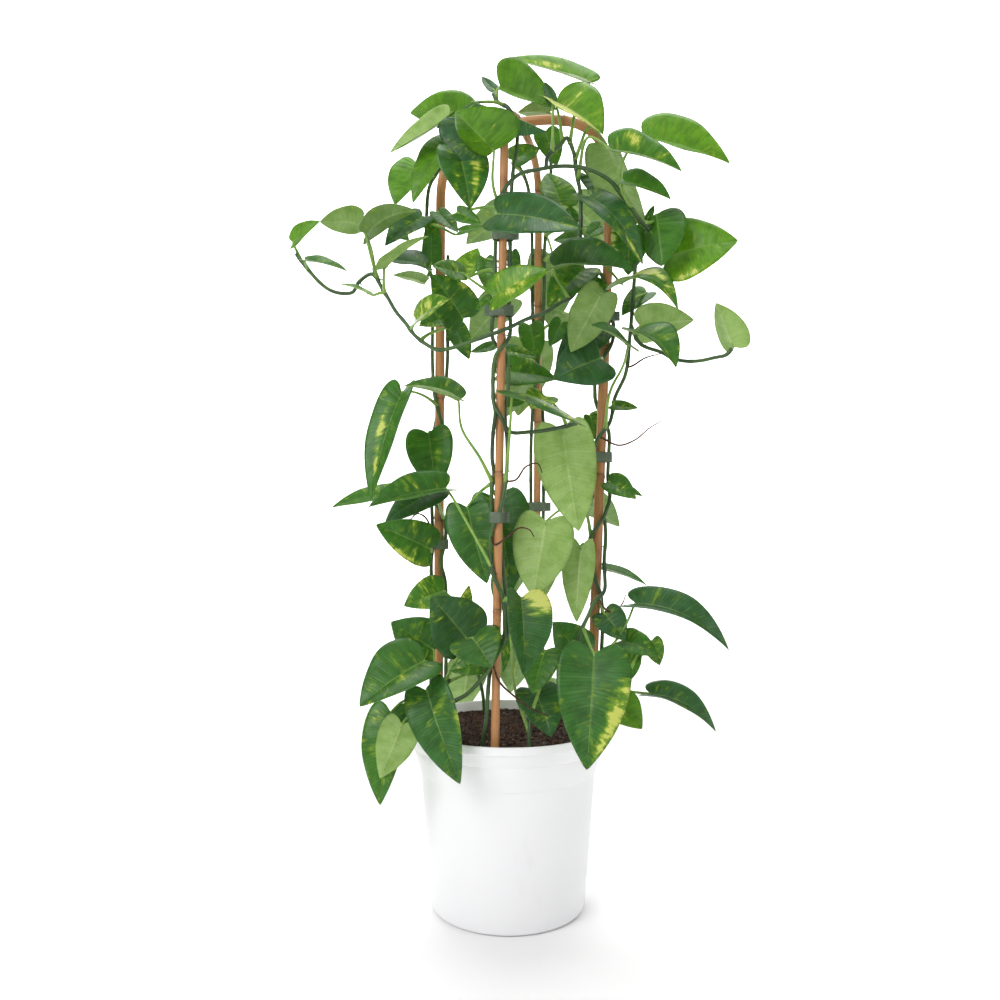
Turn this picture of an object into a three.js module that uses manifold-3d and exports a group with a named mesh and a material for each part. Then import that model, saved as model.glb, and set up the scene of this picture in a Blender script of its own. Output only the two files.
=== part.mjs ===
// A golden pothos in a white pot, its vines tied to two crossed bamboo hoops.
// Millimetres, +Z up, origin at the middle of the pot's underside, front towards -Y.
import * as THREE from "three";
import { mergeVertices } from "three/addons/utils/BufferGeometryUtils.js";
import Module from "manifold-3d";

const wasm = await Module();
wasm.setup();

// Driving sizes.
const potHeight = 214;
const potRimRadius = 120;
const potBaseRadius = 86;
const potFloorRadius = 89;
const potWall = 2.2;
const potFloor = 3;
const potSides = 32;
const seatGap = 0.3;
const soilEdgeHeight = 203.5;
const soilCrown = 207.5;
const caneDepth = 60;
const caneHoleShare = 0.05;
const stemDepth = 184;
const stemRadius = 2.3;
const stemSides = 4;
const stemHoleSides = 6;
const stemStep = 28;
const stemClearance = 1.2;
const turnStep = 42;
const petioleRadius = 1.4;
const rootSides = 3;
const budShare = 0.4;
const petioleSteps = 3;
const petioleRise = 0.5;
const petioleLeave = 0.35;
const petioleMeet = { back: 0.16, below: 0.22 };
const wholeSpan = 1000;
const shortPetiole = 32;
const rootRadius = 1.2;
const bladeThickness = 1.0;
const strapHeight = 12;
const strapThickness = 1.2;
const strapClearance = 0.35;
const strapCorners = 8;
const strapReach = 16;
const tabLength = 7;
const tabOverlap = 0.6;
const smallestEdge = 0.03;
const knotReach = 1.8;
const knotLip = 0.7;
const knotSpacing = 148;

// Each hoop stands on two legs: [x, y] at the soil and [x, y] where the arch begins.
const hoops = {
  hoop_side: {
    radius: 5.8, sides: 8, archBase: 832, archHeight: 93,
    legs: [[[95, -26], [118, -26]], [[-85, 35], [-82, 35]]],
  },
  hoop_front: {
    radius: 4.6, sides: 8, archBase: 850, archHeight: 64,
    legs: [[[-15, -98], [-5, -95]], [[37, 93], [40, 93]]],
  },
};
const canes = {
  right: { hoop: "hoop_side", leg: 0 },
  left: { hoop: "hoop_side", leg: 1 },
  front: { hoop: "hoop_front", leg: 0 },
  back: { hoop: "hoop_front", leg: 1 },
};
const legFoot = 205;
const archPower = 2.8;
const archSteps = 12;
const buriedInset = 0.86;

// Bands that tie stems to a cane: cane, height of the middle, side of the sewn tab.
const straps = {
  strap_front_high: ["front", 762, 1],
  strap_front_middle: ["front", 680, -1],
  strap_front_low: ["front", 457, 1],
  strap_right_high: ["right", 687, 1],
  strap_right_low: ["right", 525, -1],
  strap_left: ["left", 422, -1],
  strap_back: ["back", 467, 1],
};

// Vines. A stem's route is a list of points: [x, y, z], or [cane, z, angle, extra gap] beside a
// cane, where 0 degrees is its front and 90 its right. A leaf is [name, base, tip, width, the way
// the upper side looks, fold in degrees, arch, points of the petiole from the stem up].
const vines = {
  "front_vine_a": {
    "stems": [
      [[-75, -55, 184], [-75, -55, 212], [-75, -64, 236], [-63, -78, 252], [-44, -100, 268],
        [-21, -110, 296], [-12.7, -110, 311], ["front", 326, 70], ["front", 352, 90],
        ["front", 374, 40],
        ["front", 390, 340], ["front", 410, 290], ["front", 432, 280], ["front", 444, 300],
        ["front", 460, 0],
        ["front", 487, 50], ["front", 508, 90], ["front", 540, 100], ["front", 571, 140],
        ["front", 594, 100],
        ["front", 615, 95], ["front", 636, 150], ["front", 646, 240], ["front", 690, 280],
        ["front", 707, 280],
        ["front", 745, 280], ["front", 775, 300], [-4, -110, 808], [12, -108, 824], [30, -100, 831],
        [55, -97, 836], [88, -92, 834], [111, -88, 823], [127, -84, 804], [144, -80, 783],
        [156, -76, 773]],
      [[30, -100, 831], [42, -92, 848], [56, -85, 863], [64, -78, 874], [72, -72, 860], [75, -70, 840],
        [79, -70, 819], [80, -70, 790], [79, -70, 758]]
    ],
    "leaves": [
      ["T14", [-56.5, -85, 790], [-30, -95, 775], 20, [-0.3, -0.9, 0.3], 10, 0],
      ["T10", [-15.7, -132, 839.2], [-53.8, -165, 867.1], 82, [0.2, -0.78, -0.6], [-60, 8], 0.05,
        [[-13, -99, 780], [-17, -122, 808]]],
      ["T1", [94, -30, 955.8], [-4, -40, 979], 52, [0, -0.8, 0.6], [35, 15], 0.03, [[64, -78, 874],
        [76, -62, 915]]],
      ["T4", [48.3, -84, 911.6], [39.4, -84, 932.7], 14, [-0.5, -0.8, 0], 10, 0, [[42, -92, 848],
        [48, -90, 882]]],
      ["T5", [53, -60, 921], [103, -85, 875], 80, [0.1, -0.7, 0.6], 30, 0.05, [[56, -85, 863],
        [56, -74, 896]]],
      ["T19", [111, -92, 855.6], [186, -100, 829.6], 64, [0, -0.7, 0.7], 30, 0.05, [[75, -70, 840],
        [88, -86, 872]]],
      ["T20", [155.3, -45, 886], [247.7, -60, 852.4], 80, [0, -0.75, 0.65], 28, 0.05,
        [[111, -88, 823], [132, -66, 862]]],
      ["T21", [111.4, -58, 871.6], [155, -68, 778], 66, [-0.5, 0.87, 0.1], 30, 0.05, [[72, -72, 860],
        [92, -68, 890]]],
      ["T22", [92.7, -38, 846], [141.8, -52, 783], 36, [0.3, -0.9, 0.3], 15, 0, [[75, -70, 840],
        [82, -52, 850]]],
      ["T23", [88, -75, 811], [144, -100, 729], 44, [0.3, -0.85, 0.4], 15, 0.12],
      ["T24", [125.3, -90, 822], [173.6, -104, 798], 44, [0, -0.7, 0.7], 25, 0.05, [[127, -84, 804],
        [122, -94, 814]]],
      ["T25", [156, -60, 790], [163, -60, 806], 10, [-0.4, -0.8, 0.2], 10, 0],
      ["T26a", [178.5, -60, 748], [250.4, -85, 759], 82, [0.1, -0.9, 0.35], 12, 0.05,
        [[156, -76, 773], [172, -66, 758]]],
      ["T26b", [162.6, -75, 791.2], [165.2, -98, 728.0], 64, [-0.1, -0.95, 0.1], [5, -60], 0.05,
        [[156, -76, 773], [168, -70, 788]]],
      ["T27", [140, -30, 788.4], [138, -30, 734.6], 46, [0.1, -0.95, 0.2], 10, 0],
      ["T28", [125, -65, 717], [182, -100, 681], 52, [0, -0.5, 0.85], 15, 0.28, [[79, -70, 758],
        [104, -62, 744]]],
      ["M1", [-11.6, -126, 775.5], [73.7, -146, 753.9], 68, [0, -0.87, 0.5], 12, 0.05],
      ["M3a", [-53, -45, 734], [-35, -30, 766], 36, [-0.3, -0.8, 0.4], 10, 0],
      ["M3b", [-52, -55, 731], [-84, -70, 736], 36, [0, -0.8, 0.6], 10, 0, [[-14, -95, 690],
        [-36, -70, 716]]],
      ["M6", [-15.8, -120, 690.8], [40.9, -145, 712.1], 46, [-0.1, -0.9, 0.4], 15, 0.05],
      ["K5", [-71, -40, 489], [-155, -70, 468], 58, [0, -0.6, 0.8], 30, 0.05,
        [[-20, -98, 410], [-42, -85, 445], [-63, -60, 479]]],
      ["P2", [3.2, -115, 591.2], [79.3, -140, 551.1], 66, [0.5, -0.75, 0.4], [-35, 30], 0.05,
        [[-4, -100, 508], [1, -112, 550]]],
      ["R1", [12.6, -120, 373], [14.3, -140, 294.9], 66, [0.45, -0.85, 0.3], 35, 0.05]
    ],
    "roots": [
      [[-3, -100, 499], [7, -106, 497], [19, -104, 512], [31, -102, 515], [36, -100, 505]],
      [[-20, -98, 428], [-15, -112, 428], [-1, -112, 437], [12, -106, 446], [23, -100, 443],
        [27, -96, 436]],
      [[-16, -110, 302], [-10, -106, 281], [3, -100, 267], [23, -94, 251], [43, -90, 241]]
    ]
  },
  "front_vine_b": {
    "stems": [
      [[-28, -92, 184], [-28, -92, 212], ["front", 240, 285, 2], ["front", 275, 270],
        ["front", 310, 180],
        ["front", 330, 110, 4], ["front", 368, 110, 2], ["front", 400, 130], ["front", 440, 175],
        ["front", 462, 230],
        ["front", 487, 260], ["front", 507, 225], ["front", 530, 280], ["front", 551, 300],
        ["front", 571, 320],
        ["front", 594, 270], ["front", 615, 275], ["front", 632, 320], ["front", 648, 60],
        ["front", 690, 100],
        ["front", 718, 90], ["front", 745, 90], ["front", 780, 80], [5, -91, 835], [9, -87, 862],
        [8, -84, 886], [0, -86, 903], [-12, -77, 914], [-17, -72, 925]],
      [["front", 578, 315], [-7, -108, 562], [-1, -108, 550], [23, -100, 549], [56, -85, 555],
        [75, -78, 560]]
    ],
    "leaves": [
      ["T2", [-9.5, -70, 933.5], [54.4, -40, 920.5], 74, [-0.4, -0.9, 0.1], [5, 60], 0.05],
      ["T3", [-16, -68, 931], [-30, -60, 950], 16, [0.3, -0.9, 0.2], 10, 0],
      ["T9", [-37.5, -112, 899.4], [39.5, -124, 863], 62, [0, -1, 0.2], [-60, 0], 0.03],
      ["M9", [4, -20, 764], [11, -25, 733], 18, [0.2, -0.9, 0.2], 10, 0, [[4, -95, 780]]],
      ["M11", [-26, -60, 746], [-25, -60, 711], 22, [-0.2, -0.9, 0.2], 10, 0, [[3, -95, 722],
        [-4, -78, 736]]],
      ["M12", [-18, -50, 702], [-37, -50, 691], 18, [0.1, -0.9, 0.3], 10, 0],
      ["K2", [-56, -55, 588], [-116, -62, 603.5], 56, [0, -0.4, 0.9], 30, 0.05,
        [[-15, -98, 503], [-31, -92, 521], [-51, -80, 553]]],
      ["P1", [-9.5, -62, 618.5], [55, -45, 613], 50, [0, -0.8, 0.6], 15, 0.05],
      ["P3", [-6, -70, 586], [18, -70, 584], 20, [0, -0.8, 0.5], 10, 0],
      ["P4", [41, -60, 592], [24, -75, 576], 42, [-0.2, -0.8, 0.5], 15, 0,
        [[70, -78, 560], [56, -72, 575]]],
      ["P5", [59, -75, 553], [76, -90, 442], 74, [0, 1, 0.1], 20, 0.05],
      ["PX1", [-46, -62, 468], [-23.7, -74, 383.7], 58, [-0.2, -0.9, 0.2], 15, 0.05, [[-18, -97, 487],
        [-32, -80, 484]]],
      ["PX2", [-13, -30, 476], [3, -45, 371], 72, [0.1, -0.9, 0.2], 15, 0.05, [[-18, -97, 492],
        [-18, -66, 490]]]
    ],
    "roots": []
  },
  "right_vine_a": {
    "stems": [
      [[93, -38, 184], [93, -38, 212], ["right", 238, 20, 1], ["right", 262, 70], ["right", 300, 80],
        ["right", 348, 60], ["right", 369, 30],
        ["right", 383, 350], ["right", 406, 300], ["right", 430, 280], ["right", 439, 320],
        ["right", 455, 30],
        ["right", 477, 80, 3], ["right", 500, 80], ["right", 525, 75], ["right", 545, 75],
        ["right", 575, 180],
        ["right", 600, 270], ["right", 622, 280], ["right", 642, 0], ["right", 660, 70],
        ["right", 695, 30],
        ["right", 718, 340], ["right", 736, 300], [92, -42, 737], [82, -52, 722], [72, -62, 704],
        [56, -84, 691], [39, -98, 678],
        [17, -108, 668], [1, -114, 659], [-20, -114, 651], [-42, -104, 645], [-63, -94, 640],
        [-78, -84, 640],
        [-92, -76, 648], [-104, -72, 658], [-115, -68, 673], [-125, -64, 685], [-135, -60, 702],
        [-144, -56, 717], [-152, -52, 737]],
      [[-148, -54, 727], [-154, -50, 731], [-171, -46, 721], [-177, -40, 713], [-192, -38, 712],
        [-204, -36, 716],
        [-216, -34, 725], [-227, -32, 737], [-236, -32, 748], [-244, -30, 759]]
    ],
    "leaves": [
      ["P8b", [139, -10, 491], [158, -10, 480], 10, [0, -0.8, 0.6], 10, 0],
      ["P8a", [114, -42, 496.5], [144, -52, 477], 34, [0.2, -0.8, 0.5], 15, 0.05],
      ["P6", [97, -4, 575], [105, -2, 545], 20, [0, -0.9, 0.2], 10, 0],
      ["L1", [-248, -30, 773], [-214, -45, 792], 34, [-0.3, -0.8, 0.5], 15, 0.05],
      ["L2", [-170, -40, 792], [-211, -60, 787], 38, [0, 0.75, 0.65], 20, 0.05, [[-152, -52, 737],
        [-157, -45, 765]]],
      ["L3", [-160, -58, 775], [-103.6, -48, 803], 40, [0, 0.5, 0.85], 15, 0.15, [[-144, -56, 717],
        [-154, -66, 750]]],
      ["L7", [-137.3, -74, 731.5], [-88, -88, 763.3], 34, [-0.53, 0, 0.85], 25, 0.05,
        [[-135, -60, 702], [-138, -74, 716]]],
      ["L8", [-229, -50, 747], [-180.7, -60, 732], 30, [0, -0.45, 0.9], 15, 0.05],
      ["L9", [-154, -60, 706], [-185, -75, 714], 26, [0, -0.4, 0.9], 15, 0.05],
      ["L10", [-102, -75, 675], [-64, -95, 693], 50, [-0.2, -0.7, 0.7], 15, 0.05],
      ["M2", [-51.7, -42, 682.6], [-86.5, -60, 728], 58, [-0.1, -0.8, 0.5], 15, 0.05],
      ["M7", [51, -75, 732], [136, -100, 721], 70, [0, -0.7, 0.7], 30, 0.1],
      ["M8", [87, -45, 739], [44, -60, 691], 52, [-0.2, -0.8, 0.4], 15, 0.05],
      ["M16", [103, -75, 704], [67, -95, 636], 48, [0, 0.95, 0.2], 15, 0.05],
      ["M17", [101, -42, 671.3], [53, -58, 614.3], 50, [-0.2, -0.9, 0.3], 15, 0.05],
      ["M18", [106, -45, 714], [88, -45, 731], 20, [-0.3, -0.8, 0.4], 10, 0],
      ["N7", [101, -72, 632.4], [47.6, -98, 606], 64, [0, -0.95, 0.2], 15, 0.05],
      ["Q1", [41, -80, 452.6], [26, -100, 371.3], 70, [0.1, 0.97, 0.1], 15, 0.05,
        [[94, -30, 440], [88, -40, 462], [79, -52, 470], [56, -70, 464]]],
      ["Q2", [81, -60, 424], [75, -75, 341], 40, [-0.1, 0.95, 0.2], 15, 0.05]
    ],
    "roots": []
  },
  "right_vine_b": {
    "stems": [
      [[80, -44, 184], [80, -44, 212], [78, -60, 260], [77, -70, 321], [91, -62, 351], [96, -58, 361],
        [109, -46, 373], [110, -40, 390], ["right", 408, 60], ["right", 430, 80], ["right", 455, 130],
        ["right", 477, 200], ["right", 495, 260], ["right", 528, 290], ["right", 545, 330, 2],
        ["right", 562, 30, 4], ["right", 576, 65, 3], ["right", 591, 90, 4], [134, -35, 619],
        [139.5, -35, 665],
        [144, -35, 722], [146, -35, 748]],
      [[139.5, -35, 665], [150, -38, 655], [176, -42, 643], [186, -44, 637], [200, -48, 633],
        [216, -50, 633],
        [232, -54, 636], [245, -58, 639], [250, -60, 645]]
    ],
    "leaves": [
      ["R7", [108, -48, 348], [130, -60, 318.5], 40, [0, -0.8, 0.5], 15, 0.05],
      ["N1", [130, -90, 644], [87, -120, 660], 46, [0, -0.6, 0.8], 15, 0.05,
        [[106, -40, 562], [114, -72, 600], [126, -80, 624]]],
      ["N2", [142, -65, 662], [181, -95, 619], 66, [0.3, -0.6, 0.7], 25, 0.15],
      ["N3", [151, -35, 675], [214, -30, 683], 50, [0, 0.8, 0.5], 15, 0.05],
      ["N5", [161, -20, 717], [131, -30, 688], 34, [-0.3, -0.7, 0.5], 15, 0.05],
      ["N6", [251.3, -60, 646.9], [228.7, -75, 693.0], 46, [0.2, 0.9, 0.2], [10, 60], 0.05],
      ["P7", [119, -40, 584], [146, -55, 579], 18, [0, -0.8, 0.6], 10, 0],
      ["Q3", [113, -8, 396], [161, -20, 377], 26, [0, -0.3, 0.9], 15, 0.05],
      ["Q4", [143, -50, 359], [243, -75, 310], 56, [0, -0.5, 0.85], 30, 0.15,
        [[78, -66, 300], [112, -60, 310], [130, -56, 332]]],
      ["R2", [90, -115, 312], [79, -150, 200], 82, [0.05, -0.95, 0.3], 15, 0.05,
        [[79, -70, 325], [86, -90, 323]]]
    ],
    "roots": [
      [[134, -35, 619], [140, -42, 628], [155, -44, 637], [174, -46, 642]],
      [[113, -34, 541], [127, -42, 538], [144, -44, 544], [161, -46, 558], [175, -46, 566]],
      [[100, -56, 365], [111, -52, 351], [119, -46, 349], [129, -44, 357], [134, -44, 370]]
    ]
  },
  "left_vine_a": {
    "stems": [
      [[-75.4, 33.4, 184], [-75.4, 33.4, 212], ["left", 240, 80], ["left", 345, 80],
        ["left", 377, 60], ["left", 400, 20],
        ["left", 427, 60], ["left", 451, 50], ["left", 466, 0, 1], ["left", 475, 330, 3],
        ["left", 490, 310, 3],
        ["left", 507, 0, 1], ["left", 525, 60], ["left", 549, 60], ["left", 561, 40], ["left", 580, 0],
        ["left", 604, 320], ["left", 640, 290], ["left", 690, 280], ["left", 743, 280],
        [-98.7, 22, 765], [-98, 18, 795], [-97.5, 15, 819], [-93, 10, 852], [-79, 0, 872],
        [-68, -20, 895],
        [-50, -35, 913]]
    ],
    "leaves": [
      ["J2", [-54, 10, 338], [-46, 0, 375], 20, [0.2, -0.9, 0.1], 10, 0],
      ["T6", [-43.2, -20, 923.1], [-113.1, -30, 921.3], 58, [0, -0.96, 0.28], [0, 10], 0.08],
      ["T7", [-67.4, -45, 909.4], [-132.0, -65, 862.2], 46, [0, 0.9, -0.3], [5, -60], 0.05],
      ["T8", [-49.6, -84, 893], [-30.5, -92, 832], 62, [-0.1, -0.95, 0.3], [-55, 5], 0.05],
      ["T11", [-70.8, -45, 882.1], [-106.3, -66, 806.2], 46, [-0.45, -0.85, 0.3], 15, 0.05],
      ["T12", [-107.7, 0, 874.6], [-131.5, -20, 818.5], 54, [-0.3, -0.85, 0.4], 15, 0.05],
      ["T13", [-54.1, -88, 854.7], [-41.6, -106, 787.0], 60, [0.3, -0.9, 0.2], 15, 0.05],
      ["L4", [-99.8, -14, 807], [-141.5, -32, 767.7], 44, [-0.2, -0.8, 0.5], 15, 0.05],
      ["L5", [-131, 10, 796], [-118, 10, 786], 14, [0, -0.9, 0.3], 10, 0],
      ["L6", [-96, -24, 747.5], [-148.4, -42, 749], 60, [0, -0.6, 0.8], 15, 0.05],
      ["L12", [-101, 15, 738], [-137, 0, 742], 26, [0, 0.3, 1], 15, 0.05],
      ["L13", [-92.4, 16, 760], [-91, 8, 820], 26, [0.3, -0.9, 0.1], 10, 0.05],
      ["M4", [-56, -30, 785], [-26, -45, 787], 18, [0, -0.8, 0.6], 10, 0],
      ["M5", [-82, -15, 812], [-58, -30, 784], 26, [0.2, -0.8, 0.5], 10, 0],
      ["K7", [-82.2, -28, 487.8], [-139.7, -46, 450.3], 44, [-0.1, -0.8, 0.5], 15, 0.05,
        [[-80, 24, 455], [-80, 0, 464]]],
      ["K1", [-123.4, -20, 601.2], [-155.3, -50, 475.7], 54, [-0.5, -0.8, 0.2], 25, 0.05]
    ],
    "roots": []
  },
  "left_vine_b": {
    "stems": [
      [[-94.6, 36.5, 184], [-94.6, 36.5, 212], ["left", 240, 262], ["left", 345, 270],
        ["left", 370, 280], ["left", 402, 270],
        ["left", 427, 240], ["left", 451, 250], ["left", 475, 265], ["left", 525, 270],
        ["left", 549, 250],
        ["left", 580, 200], ["left", 604, 150], ["left", 640, 110], ["left", 690, 100],
        ["left", 743, 100],
        ["left", 775, 100]]
    ],
    "leaves": [
      ["L11", [-77, 0, 691], [-104, -15, 679], 30, [0, -0.8, 0.5], 15, 0],
      ["M15", [-64, 20, 685], [-46, 5, 643], 28, [0.1, -0.9, 0.3], 10, 0],
      ["K4", [-95, 14, 556], [-84.6, 4, 487], 60, [-0.1, -0.95, 0.2], 15, 0.05],
      ["K6", [-134, 0, 485], [-207, -10, 467], 34, [0, -0.6, 0.8], 15, 0.05],
      ["K8", [-92, -5, 418], [-153, -25, 447], 54, [-0.1, -0.9, 0.3], 15, 0.05],
      ["J1", [-75.9, 2, 367.8], [-121.9, -12, 351.6], 48, [-0.1, -0.8, 0.5], 15, 0.05]
    ],
    "roots": [
      [[-93, 35, 447], [-100, 22, 455], [-109, 8, 459], [-120, 8, 450], [-132, 12, 447]]
    ]
  },
  "back_vine_a": {
    "stems": [
      [[46.2, 92, 184], [46.2, 92, 212], ["back", 240, 85], ["back", 300, 60], ["back", 360, 0],
        ["back", 420, 300],
        ["back", 480, 270], ["back", 560, 280], ["back", 620, 330], ["back", 680, 30],
        ["back", 740, 70],
        ["back", 800, 80], [51, 90, 835], [54, 80, 870], [54, 62, 900], [50, 46, 918]]
    ],
    "leaves": [
      ["T16", [46, 40, 928], [60, 40, 885], 36, [0.1, -0.9, 0.2], 10, 0.05],
      ["T17", [51, 30, 947], [12, 20, 943], 36, [0, 0.3, 0.9], 15, 0.05],
      ["M19", [64, 20, 832], [49, 40, 877], 50, [0.3, -0.9, 0.2], 15, 0.05],
      ["M20", [76, 10, 808], [74, 10, 828], 20, [0.2, -0.9, 0.1], 10, 0],
      ["M21", [85, 0, 788], [54, 10, 786], 30, [0, -0.8, 0.6], 10, 0],
      ["M22", [111, 5, 802], [91, 0, 786], 24, [0, -0.8, 0.6], 10, 0],
      ["M14", [28, 60, 694], [36, 50, 646], 34, [0, -0.95, 0.2], 10, 0.05],
      ["M15b", [67, 50, 696], [52, 50, 666], 26, [0, -0.95, 0.2], 10, 0],
      ["B2", [75, 128, 235], [108, 150, 160], 66, [0.4, 0.8, 0.4], 15, 0.05],
      ["B6", [3.7, 125, 465.2], [-36.6, 160, 394.3], 62, [-0.3, 0.85, 0.4], 15, 0.05, [[30, 108, 438]]],
      ["B9", [12, 122, 622], [0, 146, 588], 52, [-0.3, 0.7, 0.6], 15, 0.05],
      ["B11", [80, 120, 720], [130, 150, 660], 66, [0.4, 0.8, 0.4], 15, 0.05],
      ["B13", [60, 135, 800], [60, 165, 710], 72, [0.1, 0.95, 0.3], 15, 0.05],
      ["B15", [85, 105, 860], [140, 140, 810], 64, [0.4, 0.7, 0.55], 15, 0.05]
    ],
    "roots": []
  },
  "back_vine_b": {
    "stems": [
      [[27.8, 93, 184], [27.8, 93, 212], ["back", 240, 265], ["back", 300, 240], ["back", 360, 180],
        ["back", 420, 120],
        ["back", 480, 90], ["back", 560, 100], ["back", 620, 150], ["back", 680, 210],
        ["back", 740, 250],
        ["back", 800, 260], [30, 85, 840], [24, 62, 872], [12, 42, 890]]
    ],
    "leaves": [
      ["B4", [43.4, 130, 430.7], [53.1, 165, 345.0], 60, [0.1, 0.95, 0.3], 15, 0.05],
      ["T15", [6, 20, 885], [39, 30, 904], 34, [0, -0.9, 0.4], 15, 0.05],
      ["M23", [-18, 40, 665], [-46, 40, 657], 18, [0, -0.8, 0.6], 10, 0],
      ["M24", [-2, 30, 658], [35, 30, 650], 24, [0, -0.8, 0.6], 10, 0],
      ["B3", [13.0, 128, 393.8], [-9.5, 150, 325.0], 58, [-0.4, 0.8, 0.4], 15, 0.05],
      ["B5", [85, 110, 480], [150, 140, 440], 62, [0.4, 0.7, 0.6], 15, 0.05],
      ["B7", [70.2, 135, 559.4], [66.7, 165, 470.3], 70, [0, 0.95, 0.3], 15, 0.05],
      ["B10", [30, 135, 680], [15, 165, 590], 76, [-0.1, 0.95, 0.3], 15, 0.05],
      ["B12", [0, 120, 740], [-50, 150, 690], 62, [-0.4, 0.8, 0.4], 15, 0.05],
      ["B14", [5, 115, 850], [-55, 150, 820], 60, [-0.3, 0.7, 0.6], 15, 0.05]
    ],
    "roots": []
  },
  "low_left_vine": {
    "stems": [
      [[-92, -34, 184], [-92, -34, 212], [-88, -48, 240], [-77, -58, 262], [-66, -66, 276]]
    ],
    "leaves": [
      ["J8", [-26, -80, 295], [-65, -80, 288], 25, [0, -0.8, 0.6], 10, 0.05],
      ["J3", [-47, -60, 321], [-86, -75, 369], 72, [-0.1, -0.85, 0.5], 15, 0.05],
      ["J9", [-85.1, -35, 303.8], [-133.8, -40, 336.5], 60, [-0.1, -0.9, 0.4], 15, 0.05,
        [[-77, -58, 262], [-84, -44, 284]]],
      ["J4", [-39, -105, 328], [-18, -135, 302], 60, [-0.1, -0.75, 0.65], 15, 0.05],
      ["J5", [-92, -85, 300], [-158, -115, 257], 88, [-0.3, -0.6, 0.75], 20, 0.05],
      ["J6", [-88, -105, 272], [-51, -135, 181], 58, [-0.3, -0.9, 0.3], 15, 0.05],
      ["J7a", [-130.3, -70, 240.7], [-139.9, -90, 144.2], 58, [-0.4, -0.85, 0.2], 15, 0.05,
        [[-86, -52, 250], [-109, -66, 255], [-120, -72, 251]]],
      ["J7b", [-115.0, -100, 234.7], [-137.1, -112, 180.1], 46, [0.2, 0.9, 0.2], 15, 0.05,
        [[-82, -55, 256], [-100, -84, 250]]]
    ],
    "roots": []
  },
  "low_right_vine": {
    "stems": [
      [[81, -62, 184], [81, -62, 212], [97, -66, 240], [110, -62, 256], [122, -54, 270],
        [134, -48, 282],
        [146, -44, 290]]
    ],
    "leaves": [
      ["R12", [80.9, -50, 300.6], [49.8, -60, 339.2], 52, [0.1, -0.9, 0.3], 15, 0.05, [[97, -66, 240],
        [88, -54, 272]]],
      ["R5", [114.0, -75, 255.1], [144.8, -90, 226.8], 48, [0.3, -0.8, 0.5], 15, 0.05],
      ["R6", [158, -60, 259], [226, -85, 223], 44, [0, -0.4, 0.9], 30, 0.15, [[110, -62, 256],
        [134, -64, 262]]],
      ["R8", [130, -40, 316], [166, -60, 302], 40, [0, -0.7, 0.7], 15, 0.05, [[122, -54, 270],
        [124, -46, 296]]],
      ["R9", [162, -50, 317], [171, -50, 289], 24, [0, -0.9, 0.3], 10, 0, [[146, -44, 290],
        [156, -46, 306]]],
      ["R10", [140, -45, 300], [129, -45, 264], 26, [0, -0.9, 0.3], 10, 0.05, [[146, -44, 290],
        [146, -46, 304]]]
    ],
    "roots": []
  },
  "low_front_vine": {
    "stems": [
      [[22, -92, 184], [22, -92, 212], [24, -84, 236], [29, -72, 254]]
    ],
    "leaves": [
      ["R3", [29.6, -62, 263.5], [46, -90, 218], 56, [0.2, -0.8, 0.5], 15, 0.05],
      ["R4", [40, -80, 311], [26, -95, 266], 44, [-0.2, -0.8, 0.5], 15, 0.05, [[24, -84, 236],
        [36, -78, 276]]],
      ["R11", [2, -40, 327], [-6, -40, 279], 14, [0, -0.95, 0.2], 10, 0, [[22, -92, 212],
        [8, -66, 262]]]
    ],
    "roots": []
  },
  "low_back_vine": {
    "stems": [
      [[-30, 92, 184], [-30, 92, 212], [-36, 98, 245], [-46, 102, 270]]
    ],
    "leaves": [
      ["B1", [20, 125, 290], [5, 160, 215], 70, [-0.2, 0.9, 0.35], 15, 0.05],
      ["B17", [-60, 115, 300], [-115, 135, 250], 62, [-0.4, 0.7, 0.6], 15, 0.05],
      ["B18", [-50, 120, 262], [-60, 150, 190], 58, [-0.1, 0.95, 0.3], 15, 0.05]
    ],
    "roots": []
  }
};

const finishes = {
  pot: [0xf0f0f2, 0.4],
  soil: [0x2f1d15, 0.95],
  cane: [0xbe865a, 0.5],
  strap: [0x5f7058, 0.85],
  vine: [0x3f7430, 0.45],
};

function finish(kind) {
  const [color, roughness] = finishes[kind];
  return new THREE.MeshStandardMaterial({ color, roughness, metalness: 0 });
}

function vec(point) {
  return new THREE.Vector3(point[0], point[1], point[2]);
}

function solidOf(geometry) {
  const bare = geometry.clone();
  bare.deleteAttribute("normal");
  bare.deleteAttribute("uv");
  const merged = mergeVertices(bare, 1e-4);
  const vertProperties = new Float32Array(merged.attributes.position.array);
  const triVerts = new Uint32Array(merged.index.array);
  return new wasm.Manifold(new wasm.Mesh({ numProp: 3, vertProperties, triVerts }));
}

function meshOf(name, solid, kind) {
  const { vertProperties, triVerts } = solid.getMesh();
  const geometry = new THREE.BufferGeometry();
  geometry.setAttribute("position", new THREE.BufferAttribute(vertProperties, 3));
  geometry.setIndex(new THREE.BufferAttribute(triVerts, 1));
  geometry.computeVertexNormals();
  const mesh = new THREE.Mesh(geometry, finish(kind));
  mesh.name = name;
  return mesh;
}

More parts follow.
